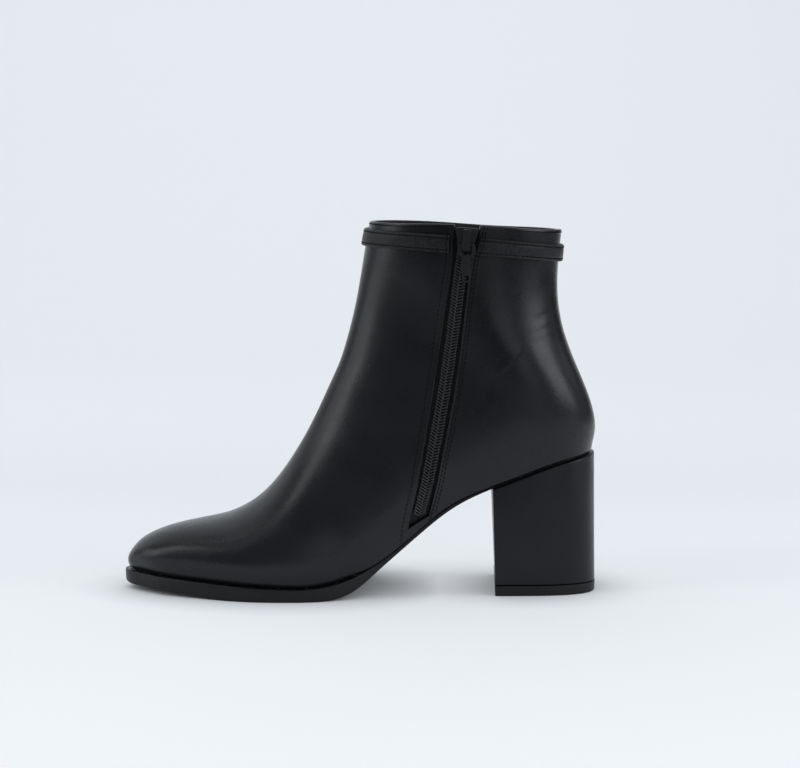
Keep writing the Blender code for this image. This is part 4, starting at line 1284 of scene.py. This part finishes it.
def plain_material(name, dark, light, rough, metallic, shine):
    graph = Graph(name)
    mottle = graph.noise(PLAIN_SCALE, 4.0)
    graph.set(Base_Color=graph.blend(mottle, dark, light))
    graph.set(Roughness=graph.span(mottle, rough - 0.05, rough + 0.08), Metallic=metallic)
    graph.set(Specular_IOR_Level=shine)
    graph.bump(graph.noise(PLAIN_GRAIN_SCALE, 2.0), PLAIN_GRAIN)
    return graph.material


# Studio

CAMERA_PLACE = (0.02045, -1.0507, 0.23045)
CAMERA_DROP, CAMERA_DISTANCE = 0.127, 1.05  # how far the view falls over this distance
FOCAL_PIXELS, IMAGE_WIDTH, SENSOR_WIDTH = 2095.0, 800.0, 36.0


def make_camera():
    data = bpy.data.cameras.new("camera")
    data.sensor_width = SENSOR_WIDTH
    data.lens = FOCAL_PIXELS / IMAGE_WIDTH * SENSOR_WIDTH
    camera = bpy.data.objects.new("camera", data)
    camera.location = CAMERA_PLACE
    camera.rotation_euler = (math.pi / 2 - math.atan(CAMERA_DROP / CAMERA_DISTANCE), 0.0, 0.0)
    bpy.context.scene.collection.objects.link(camera)
    bpy.context.scene.camera = camera


SWEEP_FRONT, SWEEP_BACK, SWEEP_HALF, SWEEP_RADIUS, SWEEP_TOP = -2.4, 1.0, 2.6, 0.8, 2.4
SHADE_REACH = 0.03  # things nearer than this dim the paper's glow: a painted contact shadow
FADE_START_Y, FADE_END_Y = -0.33, -0.52  # painted shade: the paper turns darker and stops glowing in front of the set
FADE_START_X, FADE_END_X = 0.75, 1.15  # and to its right
PAPER_DARK, PAPER_LIGHT, PAPER_SHADED = (0.50, 0.519, 0.536), (0.51, 0.529, 0.546), (0.05, 0.052, 0.054)
# The paper's glow is painted light: emission that brightens floor and backdrop, more towards the front
GLOW_BACK, GLOW_FRONT, GLOW_SHADED = (0.345, 0.36, 0.374), (0.525, 0.54, 0.556), (0.02, 0.02, 0.02)
GLOW_FRONT_Y, GLOW_BACK_Y, PAPER_SCALE = -0.3, 0.3, 1.5
WORLD_COLOUR, WORLD_STRENGTH = (0.85, 0.92, 1.0, 1.0), 0.28


def make_sweep():
    """A pale floor that curves up into the background."""
    turn = np.linspace(0, np.pi / 2, 24)
    profile = [(SWEEP_FRONT, 0.0)]
    profile += [(SWEEP_BACK + SWEEP_RADIUS * np.sin(t), SWEEP_RADIUS * (1 - np.cos(t))) for t in turn]
    profile.append((SWEEP_BACK + SWEEP_RADIUS, SWEEP_TOP))
    points = np.array([(x, y, z) for y, z in profile for x in (-SWEEP_HALF, SWEEP_HALF)]) / MM
    graph = Graph("studio_paper")
    pale = graph.blend(graph.noise(PAPER_SCALE), PAPER_DARK, PAPER_LIGHT)
    place = graph.add("ShaderNodeSeparateXYZ", {"Vector": graph.where})
    y = place.outputs["Y"]
    aside = graph.span(place.outputs["X"], 0.0, 1.0, FADE_START_X, FADE_END_X)
    # Painted shade: share of the paper made darker and without glow in front of the set and to its right
    near = graph.math("MAXIMUM", graph.span(y, 1.0, 0.0, FADE_END_Y, FADE_START_Y), aside)
    graph.set(Base_Color=graph.blend(near, pale, PAPER_SHADED))
    # Painted light: the paper glows of itself, brighter towards the front of the set
    glow = graph.blend(graph.span(y, 1.0, 0.0, GLOW_FRONT_Y, GLOW_BACK_Y), GLOW_BACK, GLOW_FRONT)
    graph.set(Emission_Color=graph.blend(near, glow, GLOW_SHADED))
    # Painted contact shadow: ambient occlusion dims the glow where the boot stands near the paper
    painted_contact_shadow = graph.add("ShaderNodeAmbientOcclusion", {"Distance": SHADE_REACH}).outputs["AO"]
    graph.set(Emission_Strength=painted_contact_shadow)
    graph.set(Roughness=0.9, Specular_IOR_Level=0.1)
    sweep = new_mesh("sweep", points + np.array(CENTRE), grid_faces(len(profile), 2), graph.material)


# Columns: name, place, point it faces, width, height, power, colour
LIGHTS = (
    ("top", (0.0, -0.1, 1.8), (0.0, 0.0, 0.0), 0.5, 0.4, 2.5, (1.0, 1.0, 1.0)),
    ("top_back", (0.0, 0.9, 1.6), (0.0, 0.1, 0.0), 1.6, 0.8, 1.6, (1.0, 1.0, 1.0)),
    ("left", (-1.4, -0.5, 0.9), (0.0, 0.0, 0.1), 0.3, 1.4, 5.0, (1.0, 0.99, 0.98)),
    ("left_low", (-1.5, -0.1, 0.45), (0.0, 0.0, 0.1), 0.7, 0.9, 3.0, (1.0, 0.99, 0.98)),
    ("left_back", (-1.2, 0.7, 1.1), (0.0, 0.0, 0.1), 0.8, 1.4, 1.8, (1.0, 1.0, 1.0)),
    ("right", (1.45, -0.38, 0.6), (0.08, 0.0, 0.11), 0.9, 0.8, 7.0, (0.98, 0.99, 1.0)),
    ("right_back", (1.2, 0.7, 1.1), (0.0, 0.0, 0.1), 0.8, 1.4, 2.0, (0.98, 0.99, 1.0)),
    ("front_right", (0.8, -1.5, 0.6), (0.05, 0.0, 0.1), 0.8, 1.2, 2.6, (0.98, 0.99, 1.0)),
    ("backdrop", (0.0, 0.1, 1.7), (0.0, 1.8, 1.3), 2.4, 0.6, 16.0, (0.98, 0.99, 1.0)),
)


def make_lights():
    for name, place, aim, width, height, power, colour in LIGHTS:
        data = bpy.data.lights.new(name, "AREA")
        data.shape = "RECTANGLE"
        data.size, data.size_y = width, height
        data.energy = power
        data.color = colour
        light = bpy.data.objects.new(name, data)
        light.location = place
        light.rotation_mode = "QUATERNION"
        light.rotation_quaternion = (Vector(aim) - Vector(place)).to_track_quat("-Z", "Y")
        bpy.context.scene.collection.objects.link(light)


def make_world():
    world = bpy.data.worlds.new("studio")
    world.use_nodes = True
    background = world.node_tree.nodes["Background"]
    background.inputs["Color"].default_value = WORLD_COLOUR
    background.inputs["Strength"].default_value = WORLD_STRENGTH
    bpy.context.scene.world = world
    bpy.context.scene.view_settings.view_transform = "Standard"


def make_boot():
    leather, strap_leather, heel_cover = (leather_material(name, *look) for name, look in LEATHERS.items())
    thread, coil, metal = (plain_material(name, *look) for name, look in PLAIN_FINISHES.items())
    lining = lining_material()
    rubber = rubber_material()
    make_upper(leather, lining)
    make_outsole(rubber)
    make_insole(lining)
    make_heel(heel_cover)
    make_top_piece(rubber)
    make_strap(strap_leather)
    make_zip_stitches(thread)
    make_strap_stitches(thread)
    make_collar_stitches(thread)
    make_zip_stay(leather)
    make_zip_tapes(tape_material())
    make_zip_coils(coil)
    slider_place = slider_frame()
    make_slider(metal, slider_place)
    make_pull_tab(metal, slider_place)


make_boot()
make_camera()
make_sweep()
make_lights()
make_world()
